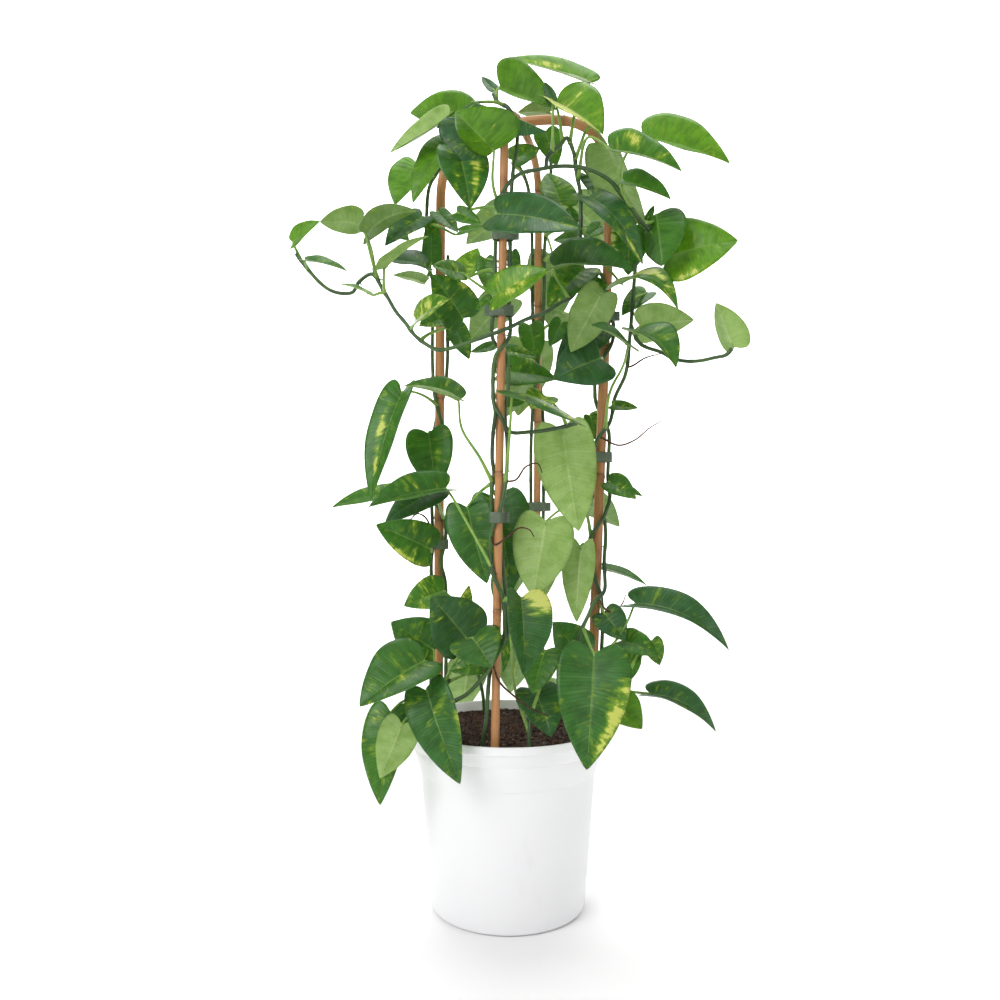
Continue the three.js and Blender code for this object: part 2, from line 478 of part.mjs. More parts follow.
// The same solid with corners nearer than the smallest edge made one, which leaves no slivers.
function cleaned(solid) {
  const { vertProperties, triVerts: corners } = solid.getMesh();
  const geometry = new THREE.BufferGeometry();
  geometry.setAttribute("position", new THREE.BufferAttribute(vertProperties, 3));
  geometry.setIndex(new THREE.BufferAttribute(corners, 1));
  const merged = mergeVertices(geometry, smallestEdge);
  const triVerts = [];
  for (let i = 0; i < merged.index.count; i += 3) {
    const face = [0, 1, 2].map((k) => merged.index.getX(i + k));
    if (new Set(face).size === 3) {
      triVerts.push(...face);
    }
  }
  return new wasm.Manifold(new wasm.Mesh({
    numProp: 3,
    vertProperties: new Float32Array(merged.attributes.position.array),
    triVerts: new Uint32Array(triVerts),
  }));
}

function join(solids) {
  return cleaned(solids.reduce((whole, solid) => whole.add(solid)));
}

// A curve that passes through its points and is sampled only at them.
class PointPath extends THREE.Curve {
  constructor(points) {
    super();
    this.points = points;
  }

  getPointAt(t, target = new THREE.Vector3()) {
    const index = Math.round(t * (this.points.length - 1));
    return target.copy(this.points[index]);
  }

  getTangentAt(t, target = new THREE.Vector3()) {
    const last = this.points.length - 1;
    const index = Math.round(t * last);
    const before = this.points[Math.max(index - 1, 0)];
    const after = this.points[Math.min(index + 1, last)];
    return target.copy(after).sub(before).normalize();
  }
}

function disc(radius, sides) {
  const shape = new THREE.Shape();
  for (let i = 0; i < sides; i += 1) {
    const angle = (2 * Math.PI * i) / sides;
    const x = radius * Math.cos(angle);
    const y = radius * Math.sin(angle);
    if (i === 0) {
      shape.moveTo(x, y);
    } else {
      shape.lineTo(x, y);
    }
  }
  return shape;
}

function tube(points, radius, sides) {
  const extrudePath = new PointPath(points);
  return solidOf(new THREE.ExtrudeGeometry(disc(radius, sides), {
    steps: points.length - 1, bevelEnabled: false, extrudePath,
  }));
}

// The middle of a cane leg at a height.
function caneAt(cane, z) {
  const { hoop, leg } = canes[cane];
  const { archBase, legs } = hoops[hoop];
  const [foot, top] = legs[leg];
  const share = (z - legFoot) / (archBase - legFoot);
  return new THREE.Vector3(
    foot[0] + (top[0] - foot[0]) * share,
    foot[1] + (top[1] - foot[1]) * share,
    z,
  );
}

function besideCane(cane, z, degrees, gap) {
  const radius = hoops[canes[cane].hoop].radius + stemRadius + stemClearance + gap;
  const angle = THREE.MathUtils.degToRad(degrees);
  const point = caneAt(cane, z);
  point.x += radius * Math.sin(angle);
  point.y -= radius * Math.cos(angle);
  return point;
}

// Turns a route into points, winding round the cane between two places on the same cane.
function routePoints(route) {
  const points = [];
  route.forEach((place, index) => {
    if (typeof place[0] !== "string") {
      points.push(vec(place));
      return;
    }
    const [cane, z, angle, gap = 0] = place;
    const before = route[index - 1];
    if (index > 0 && before[0] === cane) {
      const [, z0, angle0, gap0 = 0] = before;
      const turn = ((angle - angle0 + 540) % 360) - 180;
      const parts = Math.ceil(Math.abs(turn) / turnStep);
      for (let i = 1; i < parts; i += 1) {
        const t = i / parts;
        points.push(besideCane(cane, z0 + (z - z0) * t, angle0 + turn * t, gap0 + (gap - gap0) * t));
      }
    }
    points.push(besideCane(cane, z, angle, gap));
  });
  return points;
}

// A smooth line through points: cubic pieces whose slopes weigh the neighbouring chords.
function smoothLine(points, step, fewest = 1) {
  const last = points.length - 1;
  const chords = points.slice(1).map((point, i) => point.clone().sub(points[i]));
  const slopes = points.map((_, i) => {
    const back = chords[Math.max(i - 1, 0)];
    const ahead = chords[Math.min(i, last - 1)];
    const slope = back.clone().multiplyScalar(ahead.length() / back.length());
    slope.addScaledVector(ahead, back.length() / ahead.length());
    return slope.divideScalar(back.length() + ahead.length());
  });
  const line = [points[0].clone()];
  chords.forEach((chord, i) => {
    const span = chord.length();
    const parts = Math.max(fewest, Math.round(span / step));
    for (let k = 1; k <= parts; k += 1) {
      const t = k / parts;
      const point = points[i].clone().multiplyScalar(2 * t ** 3 - 3 * t ** 2 + 1);
      point.addScaledVector(points[i + 1], 3 * t ** 2 - 2 * t ** 3);
      point.addScaledVector(slopes[i], span * (t ** 3 - 2 * t ** 2 + t));
      point.addScaledVector(slopes[i + 1], span * (t ** 3 - t ** 2));
      line.push(point);
    }
  });
  return line;
}

function nearest(points, target) {
  return points.reduce((best, point) => (
    point.distanceTo(target) < best.distanceTo(target) ? point : best
  ));
}

// A leaf's own directions: along its midrib, out from its upper side, and to its right.
function leafFrame([, base, tip, , face]) {
  const origin = vec(base);
  const along = vec(tip).sub(origin);
  const length = along.length();
  along.normalize();
  const up = vec(face);
  up.addScaledVector(along, -up.dot(along)).normalize();
  const right = new THREE.Vector3().crossVectors(along, up);
  return { origin, along, length, up, right };
}

// Half outline of a heart-shaped blade, as shares of its width and length, from the petiole's
// narrow seat at the base to the tip.
const seatShare = 0.03;
const halfOutline = [[0.3, -0.12], [0.5, 0.12], [0.42, 0.5], [0.2, 0.8]];
const midribStops = [["m1", 0.42], ["tip", 1]];
const halfTriangles = [
  ["seat", "e0", "e1"], ["seat", "e1", "m1"], ["m1", "e1", "e2"], ["m1", "e2", "e3"], ["m1", "e3", "tip"],
];

// A petiole leaves its stem rising, and meets the blade's base from behind and below.
function petioleLine(leaf, stemPoints) {
  const { origin, along, up } = leafFrame(leaf);
  const [first, ...via] = leaf[7] ?? [];
  const start = nearest(stemPoints, first ? vec(first) : origin);
  if (via.length > 0) {
    return smoothLine([start, ...via.map(vec), origin], wholeSpan, via.length > 1 ? 1 : 2);
  }
  const span = origin.distanceTo(start);
  const leave = origin.clone().sub(start).normalize();
  leave.z += petioleRise;
  const second = start.clone().addScaledVector(leave.normalize(), petioleLeave * span);
  const third = origin.clone()
    .addScaledVector(along, -petioleMeet.back * span)
    .addScaledVector(up, -petioleMeet.below * span);
  const steps = span > shortPetiole ? petioleSteps : petioleSteps - 1;
  return new THREE.CubicBezierCurve3(start, second, third, origin).getPoints(steps);
}

// A leaf in one closed surface: a three-sided petiole that flattens into the base of a
// heart-shaped blade, which is folded along its midrib (both halves alike, or left and right by
// their own angles), arched along it, and thin as a card.
function leafSolid(leaf, stemPoints) {
  const [, , , width, , fold, arch] = leaf;
  const { origin, along, length, up, right } = leafFrame(leaf);
  const [leftFold, rightFold = leftFold] = [fold].flat();
  const positions = [];
  const indices = [];
  const slots = {};
  const addPoint = (key, point) => {
    slots[key] = positions.length / 3;
    positions.push(...point.toArray());
  };
  const addFace = (...keys) => {
    for (let i = 2; i < keys.length; i += 1) {
      indices.push(slots[keys[0]], slots[keys[i - 1]], slots[keys[i]]);
    }
  };
  const addBladePoint = (key, across, down) => {
    const angle = THREE.MathUtils.degToRad(across < 0 ? leftFold : rightFold);
    const lift = Math.abs(across) * width * Math.sin(angle) + arch * length * 4 * down * (1 - down);
    const point = origin.clone()
      .addScaledVector(along, down * length)
      .addScaledVector(right, across * width * Math.cos(angle))
      .addScaledVector(up, lift);
    addPoint(`${key}_top`, point.clone().addScaledVector(up, bladeThickness / 2));
    addPoint(`${key}_low`, point.addScaledVector(up, -bladeThickness / 2));
  };
  midribStops.forEach(([key, down]) => addBladePoint(key, 0, down));
  ["r", "l"].forEach((half) => {
    const sign = half === "r" ? 1 : -1;
    addBladePoint(`${half}seat`, sign * seatShare, 0);
    halfOutline.forEach(([across, down], i) => addBladePoint(`${half}e${i}`, sign * across, down));
    halfTriangles.forEach((keys) => {
      const [a, b, c] = keys.map((key) => (/^[es]/.test(key) ? half + key : key));
      const [second, third] = half === "r" ? [b, c] : [c, b];
      addFace(`${a}_top`, `${second}_top`, `${third}_top`);
      addFace(`${a}_low`, `${third}_low`, `${second}_low`);
    });
  });
  addFace("lseat_top", "rseat_top", "m1_top");
  addFace("lseat_low", "m1_low", "rseat_low");
  const rim = ["rseat", "re0", "re1", "re2", "re3", "tip", "le3", "le2", "le1", "le0", "lseat"];
  for (let i = 1; i < rim.length; i += 1) {
    addFace(`${rim[i - 1]}_low`, `${rim[i]}_low`, `${rim[i]}_top`, `${rim[i - 1]}_top`);
  }

  const line = petioleLine(leaf, stemPoints);
  const across = right.clone();
  const rings = line.slice(0, -1);
  for (let i = rings.length - 1; i >= 0; i -= 1) {
    const direction = line[i + 1].clone().sub(line[Math.max(i - 1, 0)]).normalize();
    across.addScaledVector(direction, -across.dot(direction)).normalize();
    const above = new THREE.Vector3().crossVectors(across, direction);
    ["a", "b", "c"].forEach((key, k) => {
      const turn = Math.PI / 2 + (k * 2 * Math.PI) / 3;
      addPoint(`${key}${i}`, line[i].clone()
        .addScaledVector(across, petioleRadius * Math.cos(turn))
        .addScaledVector(above, petioleRadius * Math.sin(turn)));
    });
  }
  addFace("a0", "b0", "c0");
  for (let i = 1; i < rings.length; i += 1) {
    [["a", "b"], ["b", "c"], ["c", "a"]].forEach(([p, q]) => {
      addFace(`${p}${i - 1}`, `${p}${i}`, `${q}${i}`, `${q}${i - 1}`);
    });
  }
  const last = rings.length - 1;
  addFace(`a${last}`, "rseat_top", "lseat_top");
  addFace(`a${last}`, "lseat_top", "lseat_low", `b${last}`);
  addFace(`b${last}`, "lseat_low", "rseat_low", `c${last}`);
  addFace(`c${last}`, "rseat_low", "rseat_top", `a${last}`);
  const geometry = new THREE.BufferGeometry();
  geometry.setAttribute("position", new THREE.Float32BufferAttribute(positions, 3));
  geometry.setIndex(indices);
  return solidOf(geometry);
}

// Places inside a stem, between its samples, where petioles, roots and side stems begin.
function budPoints(line) {
  return line.slice(1).map((point, i) => line[i].clone().lerp(point, budShare));
}

function vineParts({ stems, leaves, roots }) {
  const lines = stems.map((route) => smoothLine(routePoints(route), stemStep));
  for (let i = 1; i < lines.length; i += 1) {
    lines[i][0] = nearest(lines.slice(0, i).flatMap(budPoints), lines[i][0]).clone();
  }
  const stemPoints = lines.flatMap(budPoints);
  const parts = lines.map((line, i) => [`stem${i}`, tube(line, stemRadius, stemSides)]);
  leaves.forEach((leaf) => {
    parts.push([leaf[0], leafSolid(leaf, stemPoints)]);
  });
  roots.forEach((root, i) => {
    const line = root.map(vec);
    line[0] = nearest(stemPoints, line[0]).clone();
    parts.push([`root${i}`, tube(smoothLine(line, wholeSpan), rootRadius, rootSides)]);
  });
  return { parts, lines };
}

function lathe(profile) {
  const points = profile.map(([radius, z]) => new THREE.Vector2(radius, z));
  const geometry = new THREE.LatheGeometry(points, potSides);
  geometry.rotateX(Math.PI / 2);
  return solidOf(geometry);
}

// Outside of the pot from the underside to the lip: rounded foot, taper, line, flare, rim band.
const potOutside = [
  [potBaseRadius, 0], [potBaseRadius + 4.2, 3.5],
  [102.6, 160.5], [103.6, 162], [117.2, 204], [potRimRadius, 205], [potRimRadius, potHeight - 1],
];
const potInside = [
  [potRimRadius - 3.4, potHeight - 0.6], [potRimRadius - 4.4, 205], [103.4 - potWall, 163],
  [potFloorRadius - potWall, potFloor],
];

function potSolid() {
  return lathe([
    [0, 0], ...potOutside, [potRimRadius - 1.4, potHeight],
    ...potInside, [0, potFloor],
  ]);
}

function soilSolid(cuts) {
  const wall = potInside.slice(1).reverse().map(([radius, z]) => [radius - seatGap, z + seatGap]);
  wall[wall.length - 1] = [potInside[1][0] - seatGap - 0.3, soilEdgeHeight];
  const body = lathe([
    [0, potFloor + seatGap], ...wall, [64, 206.3], [0, soilCrown],
  ]);
  return cleaned(cuts.reduce((soil, cut) => soil.subtract(cut), body));
}

// Points along a hoop: up one leg, over a rounded-square arch, down the other.
function hoopLine({ legs, archBase, archHeight }) {
  const [[footA, topA], [footB, topB]] = legs;
  const at = (foot, top, z) => {
    const share = (z - legFoot) / (archBase - legFoot);
    return vec([foot[0] + (top[0] - foot[0]) * share, foot[1] + (top[1] - foot[1]) * share, z]);
  };
  const buried = (foot) => vec([foot[0] * buriedInset, foot[1] * buriedInset, caneDepth]);
  const points = [buried(footA), at(footA, topA, legFoot)];
  for (let i = 0; i <= archSteps; i += 1) {
    const angle = (Math.PI * i) / archSteps;
    const across = Math.sign(Math.cos(angle)) * Math.abs(Math.cos(angle)) ** (2 / archPower);
    const share = (1 - across) / 2;
    const rise = archHeight * Math.sin(angle) ** (2 / archPower);
    points.push(vec([
      topA[0] + (topB[0] - topA[0]) * share, topA[1] + (topB[1] - topA[1]) * share, archBase + rise,
    ]));
  }
  points.push(at(footB, topB, legFoot), buried(footB));
  return points;
}

// A hoop's line with three more stations at each of the bamboo's joints, the middle one marked.
function knottedLine(line) {
  const stations = [];
  const knots = [];
  let travelled = 0;
  let next = 2 * knotSpacing;
  for (let i = 1; i < line.length; i += 1) {
    const span = line[i].distanceTo(line[i - 1]);
    stations.push(line[i - 1]);
    while (next < travelled + span - knotReach && i < line.length - 1) {
      [-knotReach, 0, knotReach].forEach((shift) => {
        stations.push(line[i - 1].clone().lerp(line[i], (next - travelled + shift) / span));
      });
      knots.push(stations[stations.length - 2]);
      next += knotSpacing;
    }
    travelled += span;
  }
  stations.push(line[line.length - 1]);
  return { stations, knots };
}

function hoopSolid(hoop) {
  const { stations, knots } = knottedLine(hoopLine(hoop));
  const geometry = new THREE.ExtrudeGeometry(disc(hoop.radius, hoop.sides), {
    steps: stations.length - 1, bevelEnabled: false, extrudePath: new PointPath(stations),
  });
  const position = geometry.attributes.position;
  for (let i = 0; i < position.count; i += 1) {
    const corner = new THREE.Vector3().fromBufferAttribute(position, i);
    const centre = nearest(stations, corner);
    if (knots.includes(centre)) {
      corner.sub(centre).multiplyScalar(1 + knotLip / hoop.radius).add(centre);
      position.setXYZ(i, ...corner.toArray());
    }
  }
  return solidOf(geometry);
}

// Where lines cross a level near a cane.
function crossings(lines, z, centre) {
  const found = [];
  lines.forEach((line) => {
    for (let i = 1; i < line.length; i += 1) {
      const [a, b] = [line[i - 1], line[i]];
      if ((a.z - z) * (b.z - z) <= 0 && a.z !== b.z) {
        const point = a.clone().lerp(b, (z - a.z) / (b.z - a.z));
        if (Math.hypot(point.x - centre.x, point.y - centre.y) < strapReach) {
          found.push(point);
        }
      }
    }
  });
  return found;
}

function hull(points) {
  const sorted = [...points].sort((a, b) => a[0] - b[0] || a[1] - b[1]);
  const chain = (list) => {
    const kept = [];
    list.forEach((point) => {
      while (kept.length > 1) {
        const [a, b] = kept.slice(-2);
        const turn = (b[0] - a[0]) * (point[1] - a[1]) - (b[1] - a[1]) * (point[0] - a[0]);
        if (turn > 0) {
          break;
        }
        kept.pop();
      }
      kept.push(point);
    });
    return kept.slice(0, -1);
  };
  return [...chain(sorted), ...chain(sorted.reverse())];
}

// A band drawn round a cane and its stems, with its sewn end standing out at one side.
function strapSolid([cane, z, side], lines) {
  const corners = (extra) => {
    const ring = [];
    const round = (centre, radius) => {
      for (let i = 0; i < strapCorners; i += 1) {
        const angle = (2 * Math.PI * (i + 0.5)) / strapCorners;
        const reach = (radius + extra) / Math.cos(Math.PI / strapCorners);
        ring.push([centre.x + reach * Math.cos(angle), centre.y + reach * Math.sin(angle)]);
      }
    };
    [-1, 1].forEach((level) => {
      const height = z + (level * strapHeight) / 2;
      const centre = caneAt(cane, height);
      round(centre, hoops[canes[cane].hoop].radius + knotLip);
      crossings(lines, height, centre).forEach((point) => round(point, stemRadius + strapClearance));
    });
    return hull(ring);
  };
  const inner = corners(0);
  const outer = corners(strapThickness);
  const shape = new THREE.Shape(outer.map(([x, y]) => new THREE.Vector2(x, y)));
  shape.holes.push(new THREE.Path(inner.map(([x, y]) => new THREE.Vector2(x, y))));
  const band = new THREE.ExtrudeGeometry(shape, { depth: strapHeight, bevelEnabled: false, steps: 1 });
  band.translate(0, 0, z - strapHeight / 2);
  const edge = outer.reduce((best, point) => (point[0] * side > best[0] * side ? point : best));
  const tab = new THREE.BoxGeometry(tabLength, strapThickness, strapHeight - 1);
  tab.translate(edge[0] + side * (tabLength / 2 - tabOverlap), edge[1], z);
  return join([solidOf(band), solidOf(tab)]);
}

// Plain vertical holes in the soil, and the sloping ones that the canes stand in.
function soilCuts(lines) {
  const cuts = [];
  Object.values(hoops).forEach((hoop) => {
    const line = hoopLine(hoop);
    [line.slice(0, 3), line.slice(-3).reverse()].forEach(([foot, bend, top]) => {
      const start = foot.clone().addScaledVector(bend.clone().sub(foot).normalize(), -seatGap);
      const end = bend.clone().lerp(top, caneHoleShare);
      const radius = (hoop.radius + seatGap) / Math.cos(Math.PI / hoop.sides);
      cuts.push(tube([start, bend, end], radius, hoop.sides));
    });
  });
  lines.forEach((line) => {
    const start = line[0].clone().setZ(stemDepth - seatGap);
    const end = line[0].clone().setZ(potHeight);
    cuts.push(tube([start, end], stemRadius + 2 * seatGap, stemHoleSides));
  });
  return cuts;
}

const plant = new THREE.Group();
const grown = Object.entries(vines).map(([name, vine]) => [name, vineParts(vine)]);
const stemLines = grown.flatMap(([, { lines }]) => lines);
const mainLines = grown.map(([, { lines }]) => lines[0]);

plant.add(meshOf("pot", potSolid(), "pot"));
plant.add(meshOf("soil", soilSolid(soilCuts(mainLines)), "soil"));
Object.entries(hoops).forEach(([name, hoop]) => {
  plant.add(meshOf(name, hoopSolid(hoop), "cane"));
});
Object.entries(straps).forEach(([name, strap]) => {
  plant.add(meshOf(name, strapSolid(strap, stemLines), "strap"));
});
grown.forEach(([name, { parts }]) => {
  plant.add(meshOf(name, join(parts.map(([, solid]) => solid)), "vine"));
});

export default plant;
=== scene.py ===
# Golden pothos in a white pot, its vines tied to two crossed bamboo hoops. Sizes are in millimetres
# until a mesh is made, with the origin at the middle of the pot's underside and the front at -Y.
from functools import partial
import bpy
import numpy as np
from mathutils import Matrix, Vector


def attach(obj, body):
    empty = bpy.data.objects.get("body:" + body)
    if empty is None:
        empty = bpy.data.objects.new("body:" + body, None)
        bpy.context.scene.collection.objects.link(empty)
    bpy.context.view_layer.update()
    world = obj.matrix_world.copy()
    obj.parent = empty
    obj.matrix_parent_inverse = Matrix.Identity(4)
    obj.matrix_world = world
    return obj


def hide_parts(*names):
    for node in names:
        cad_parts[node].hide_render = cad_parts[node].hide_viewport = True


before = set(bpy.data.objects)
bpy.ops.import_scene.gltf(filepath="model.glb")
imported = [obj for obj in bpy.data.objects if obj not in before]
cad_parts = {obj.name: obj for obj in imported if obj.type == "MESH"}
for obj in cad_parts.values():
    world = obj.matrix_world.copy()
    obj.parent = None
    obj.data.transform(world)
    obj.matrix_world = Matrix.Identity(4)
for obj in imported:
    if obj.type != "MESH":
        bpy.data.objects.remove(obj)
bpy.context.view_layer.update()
print("frame loaded")


# A colour written as #rrggbb, turned to linear light.
def srgb(hexText):
    parts = np.array([int(hexText[i:i + 2], 16) for i in (1, 3, 5)]) / 255
    linear = np.where(parts <= 0.04045, parts / 12.92, ((parts + 0.055) / 1.055) ** 2.4)
    return (*[float(part) for part in linear], 1.0)


# The kinds of node in use: type, settings, the inputs that values go to in turn, and the output.
# Any other kind is the name of a Math operation.
nodeKinds = {
    "mix": ("Mix", {"data_type": "RGBA"}, (0, 6, 7), 2),
    "darken": ("Mix", {"data_type": "RGBA", "blend_type": "MULTIPLY"}, (0, 6, 7), 2),
    "band": ("MapRange", {"interpolation_type": "SMOOTHSTEP"}, (0, 1, 2), 0),  # 0 below, 1 above, smooth
    "noise": ("TexNoise", {}, ("Vector", "Scale", "Detail", "Roughness", "Distortion"), "Fac"),
    "mark": ("Attribute", {}, (), "Fac"),
    "map": ("UVMap", {}, (), 0),
    "place": ("TexCoord", {}, (), "Object"),
    "stretch": ("Mapping", {}, (0, "Scale", "Rotation"), 0),
    "x": ("SeparateXYZ", {}, (0,), 0),
    "y": ("SeparateXYZ", {}, (0,), 1),
    "xyz": ("CombineXYZ", {}, (0, 1, 2), 0),
    "move": ("VectorMath", {"operation": "ADD"}, (0, 1), 0),
    "bump": ("Bump", {}, ("Height", "Strength", "Distance"), 0),
    "through": ("BsdfTranslucent", {}, ("Color",), 0),
    "shade": ("MixShader", {}, (0, 1, 2), 0),
}


# Gives an input a number or a "#rrggbb" colour, or links it to another node's output.
def feed(tree, socket, value):
    if isinstance(value, bpy.types.NodeSocket):
        tree.links.new(value, socket)
    else:
        socket.default_value = srgb(value) if isinstance(value, str) else value


# Adds a node with its settings and links.
def addNode(tree, kind, *values, **settings):
    kind, fixed, inputs, output = nodeKinds.get(kind, ("Math", {"operation": kind}, (0, 1, 2), 0))
    node = tree.nodes.new("ShaderNode" + kind)
    for key, value in {**fixed, **settings}.items():
        setattr(node, key, value)
    for key, value in zip(inputs, values):
        feed(tree, node.inputs[key], value)
    return node.outputs[output]


# A material and a short way to add nodes to it.
def newMaterial(name):
    material = bpy.data.materials.new(name)
    material.use_nodes = True
    return material, partial(addNode, material.node_tree)


# Gives a material its colour, roughness and, where there is one, relief [height, strength, metres].
def finish(material, colour, rough, relief=None, others=None):
    tree = material.node_tree
    inputs = tree.nodes["Principled BSDF"].inputs
    for key, value in {"Base Color": colour, "Roughness": rough, **(others or {})}.items():
        feed(tree, inputs[key], value)
    if relief:
        feed(tree, inputs["Normal"], addNode(tree, "bump", *relief))
    return material


def unit(vectors):
    vectors = np.asarray(vectors, float)
    return vectors / np.linalg.norm(vectors, axis=-1, keepdims=True)


# Gathers grids and tubes into the arrays of one mesh.
class Surface:
    def __init__(self):
        self.points, self.corners, self.sizes = [], [], []
        self.uvs = {"veins": [], "blade": []}
        self.slots, self.flats = [], []
        self.marks = {"leafToneAndPaintedLight": [], "cream": [], "creamPale": [], "seed": []}
        self.count = 0

    # points n x 3, faces m x k, and the two maps m x k x 2. marks are numbers or n values.
    def add(self, points, faces, veins, blade, slot, marks=None, flat=False):
        faces = np.asarray(faces)
        self.points.append(points)
        self.corners.append((faces + self.count).ravel())
        self.sizes.append(np.full(len(faces), faces.shape[1]))
        self.uvs["veins"].append(veins.reshape(-1, 2))
        self.uvs["blade"].append(blade.reshape(-1, 2))
        self.slots.append(np.full(len(faces), slot))
        self.flats.append(np.full(len(faces), flat))
        for key, values in self.marks.items():
            values.append(np.broadcast_to((marks or {}).get(key, 0.0), len(points)))
        self.count += len(points)

    # More faces on the points that were added last.
    def addFaces(self, faces, veins, blade, slot, flat=False):
        faces = np.asarray(faces)
        base = self.count - len(self.points[-1])
        self.corners.append((faces + base).ravel())
        self.sizes.append(np.full(len(faces), faces.shape[1]))
        self.uvs["veins"].append(veins.reshape(-1, 2))
        self.uvs["blade"].append(blade.reshape(-1, 2))
        self.slots.append(np.full(len(faces), slot))
        self.flats.append(np.full(len(faces), flat))

    # The mesh as a piece that rides on the frame and stands for its CAD nodes.
    def toObject(self, name, materials, slotName, *nodes):
        mesh = bpy.data.meshes.new(name)
        points = np.concatenate(self.points) * 0.001
        corners = np.concatenate(self.corners)
        sizes = np.concatenate(self.sizes)
        mesh.vertices.add(len(points))
        mesh.vertices.foreach_set("co", points.astype(np.float32).ravel())
        mesh.loops.add(len(corners))
        mesh.loops.foreach_set("vertex_index", corners.astype(np.int32))
        mesh.polygons.add(len(sizes))
        mesh.polygons.foreach_set("loop_start", (np.cumsum(sizes) - sizes).astype(np.int32))
        for key, rows in self.uvs.items():
            layer = mesh.uv_layers.new(name=key)
            layer.data.foreach_set("uv", np.concatenate(rows).astype(np.float32).ravel())
        mesh.polygons.foreach_set("material_index", np.concatenate(self.slots).astype(np.int32))
        flats = mesh.attributes.new("sharp_face", "BOOLEAN", "FACE")
        flats.data.foreach_set("value", np.concatenate(self.flats))
        if any(np.any(rows) for values in self.marks.values() for rows in values):
            for key, values in self.marks.items():
                attribute = mesh.attributes.new(key, "FLOAT", "POINT")
                attribute.data.foreach_set("value", np.concatenate(values).astype(np.float32))
        mesh.update(calc_edges=True)
        mesh.validate()
        for material in materials:
            mesh.materials.append(material)
        piece = bpy.data.objects.new(name, mesh)
        bpy.context.scene.collection.objects.link(piece)
        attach(piece, "root")
        if nodes:
            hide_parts(*nodes)
        print(f"{name}: {int((sizes - 2).sum())} triangles")
        return piece


# Quads of a grid of points, rows x columns, closed round its columns if wrap is set.
def gridFaces(rows, columns, wrap=False):
    across = np.arange(columns if wrap else columns - 1)
    i, j = np.meshgrid(np.arange(rows - 1), across, indexing="ij")
    k = (j + 1) % columns
    return np.stack([i * columns + j, i * columns + k, (i + 1) * columns + k, (i + 1) * columns + j],
                    axis=-1).reshape(-1, 4)


# The corner coordinates that go with gridFaces: across and along give the value at each line.
def gridMap(across, along):
    i, j = np.meshgrid(np.arange(len(along) - 1), np.arange(len(across) - 1), indexing="ij")
    return np.stack([
        np.stack([across[j], along[i]], -1), np.stack([across[j + 1], along[i]], -1),
        np.stack([across[j + 1], along[i + 1]], -1), np.stack([across[j], along[i + 1]], -1),
    ], axis=2).reshape(-1, 4, 2)


# A smooth line through points: cubic pieces whose slopes weigh the chords on both sides.
def smoothLine(points, step, fewest=1):
    points = np.asarray(points, float)
    chords = points[1:] - points[:-1]
    spans = np.linalg.norm(chords, axis=1)
    back = np.concatenate([chords[:1], chords])
    ahead = np.concatenate([chords, chords[-1:]])
    b = np.linalg.norm(back, axis=1)[:, None]
    a = np.linalg.norm(ahead, axis=1)[:, None]
    slopes = (back * a / b + ahead * b / a) / (a + b)
    line = [points[:1]]
    for i, span in enumerate(spans):
        parts = max(fewest, int(np.floor(span / step + 0.5)))
        t = (np.arange(1, parts + 1) / parts)[:, None]
        line.append(points[i] * (2 * t**3 - 3 * t**2 + 1) + points[i + 1] * (3 * t**2 - 2 * t**3)
                    + slopes[i] * span * (t**3 - 2 * t**2 + t) + slopes[i + 1] * span * (t**3 - t**2))
    return np.concatenate(line)


# Two directions square to a line at each of its points, carried along it without twist.
def carriedFrames(line):
    before = np.concatenate([line[:1], line[:-1]])
    after = np.concatenate([line[1:], line[-1:]])
    tangents = unit(after - before)
    side = np.cross(tangents[0], [0.0, 1.0, 0.0])
    if np.linalg.norm(side) < 0.1:
        side = np.cross(tangents[0], [1.0, 0.0, 0.0])
    sides = []
    for tangent in tangents:
        side = unit(side - tangent * (side @ tangent))
        sides.append(side)
    sides = np.array(sides)
    return tangents, sides, np.cross(tangents, sides)


def lengthsAlong(line):
    return np.concatenate([[0.0], np.cumsum(np.linalg.norm(np.diff(line, axis=0), axis=1))])


# Triangles that close both ends of a run of rings; the ends' middles are the two points after them.
def capFaces(rings, sides):
    around = np.arange(sides)
    following = (around + 1) % sides
    last = (rings - 1) * sides
    middle = np.full(sides, rings * sides)
    return np.concatenate([np.stack([following, around, middle], 1),
                           np.stack([around + last, following + last, middle + 1], 1)])


def addCaps(surface, rings, sides, slot):
    caps = capFaces(rings, sides)
    capMap = np.zeros((len(caps), 3, 2))
    surface.addFaces(caps, capMap, capMap, slot)


# A closed round tube along a line; squash holds how flat it is at each point.
def addTube(surface, line, radii, sides, slot, marks=None, squash=None):
    tangents, side, up = carriedFrames(line)
    angles = 2 * np.pi * np.arange(sides) / sides
    radii = np.broadcast_to(radii, len(line))[:, None, None]
    flat = 1.0 if squash is None else np.asarray(squash)[:, None, None]
    rings = (line[:, None] + radii * np.cos(angles)[None, :, None] * side[:, None]
             + radii * flat * np.sin(angles)[None, :, None] * up[:, None])
    travelled = lengthsAlong(line) / 100
    points = np.concatenate([rings.reshape(-1, 3), line[:1], line[-1:]])
    map1 = gridMap(np.arange(sides + 1) / sides, travelled)
    surface.add(points, gridFaces(len(line), sides, wrap=True), map1, map1, slot, marks)
    addCaps(surface, len(line), sides, slot)


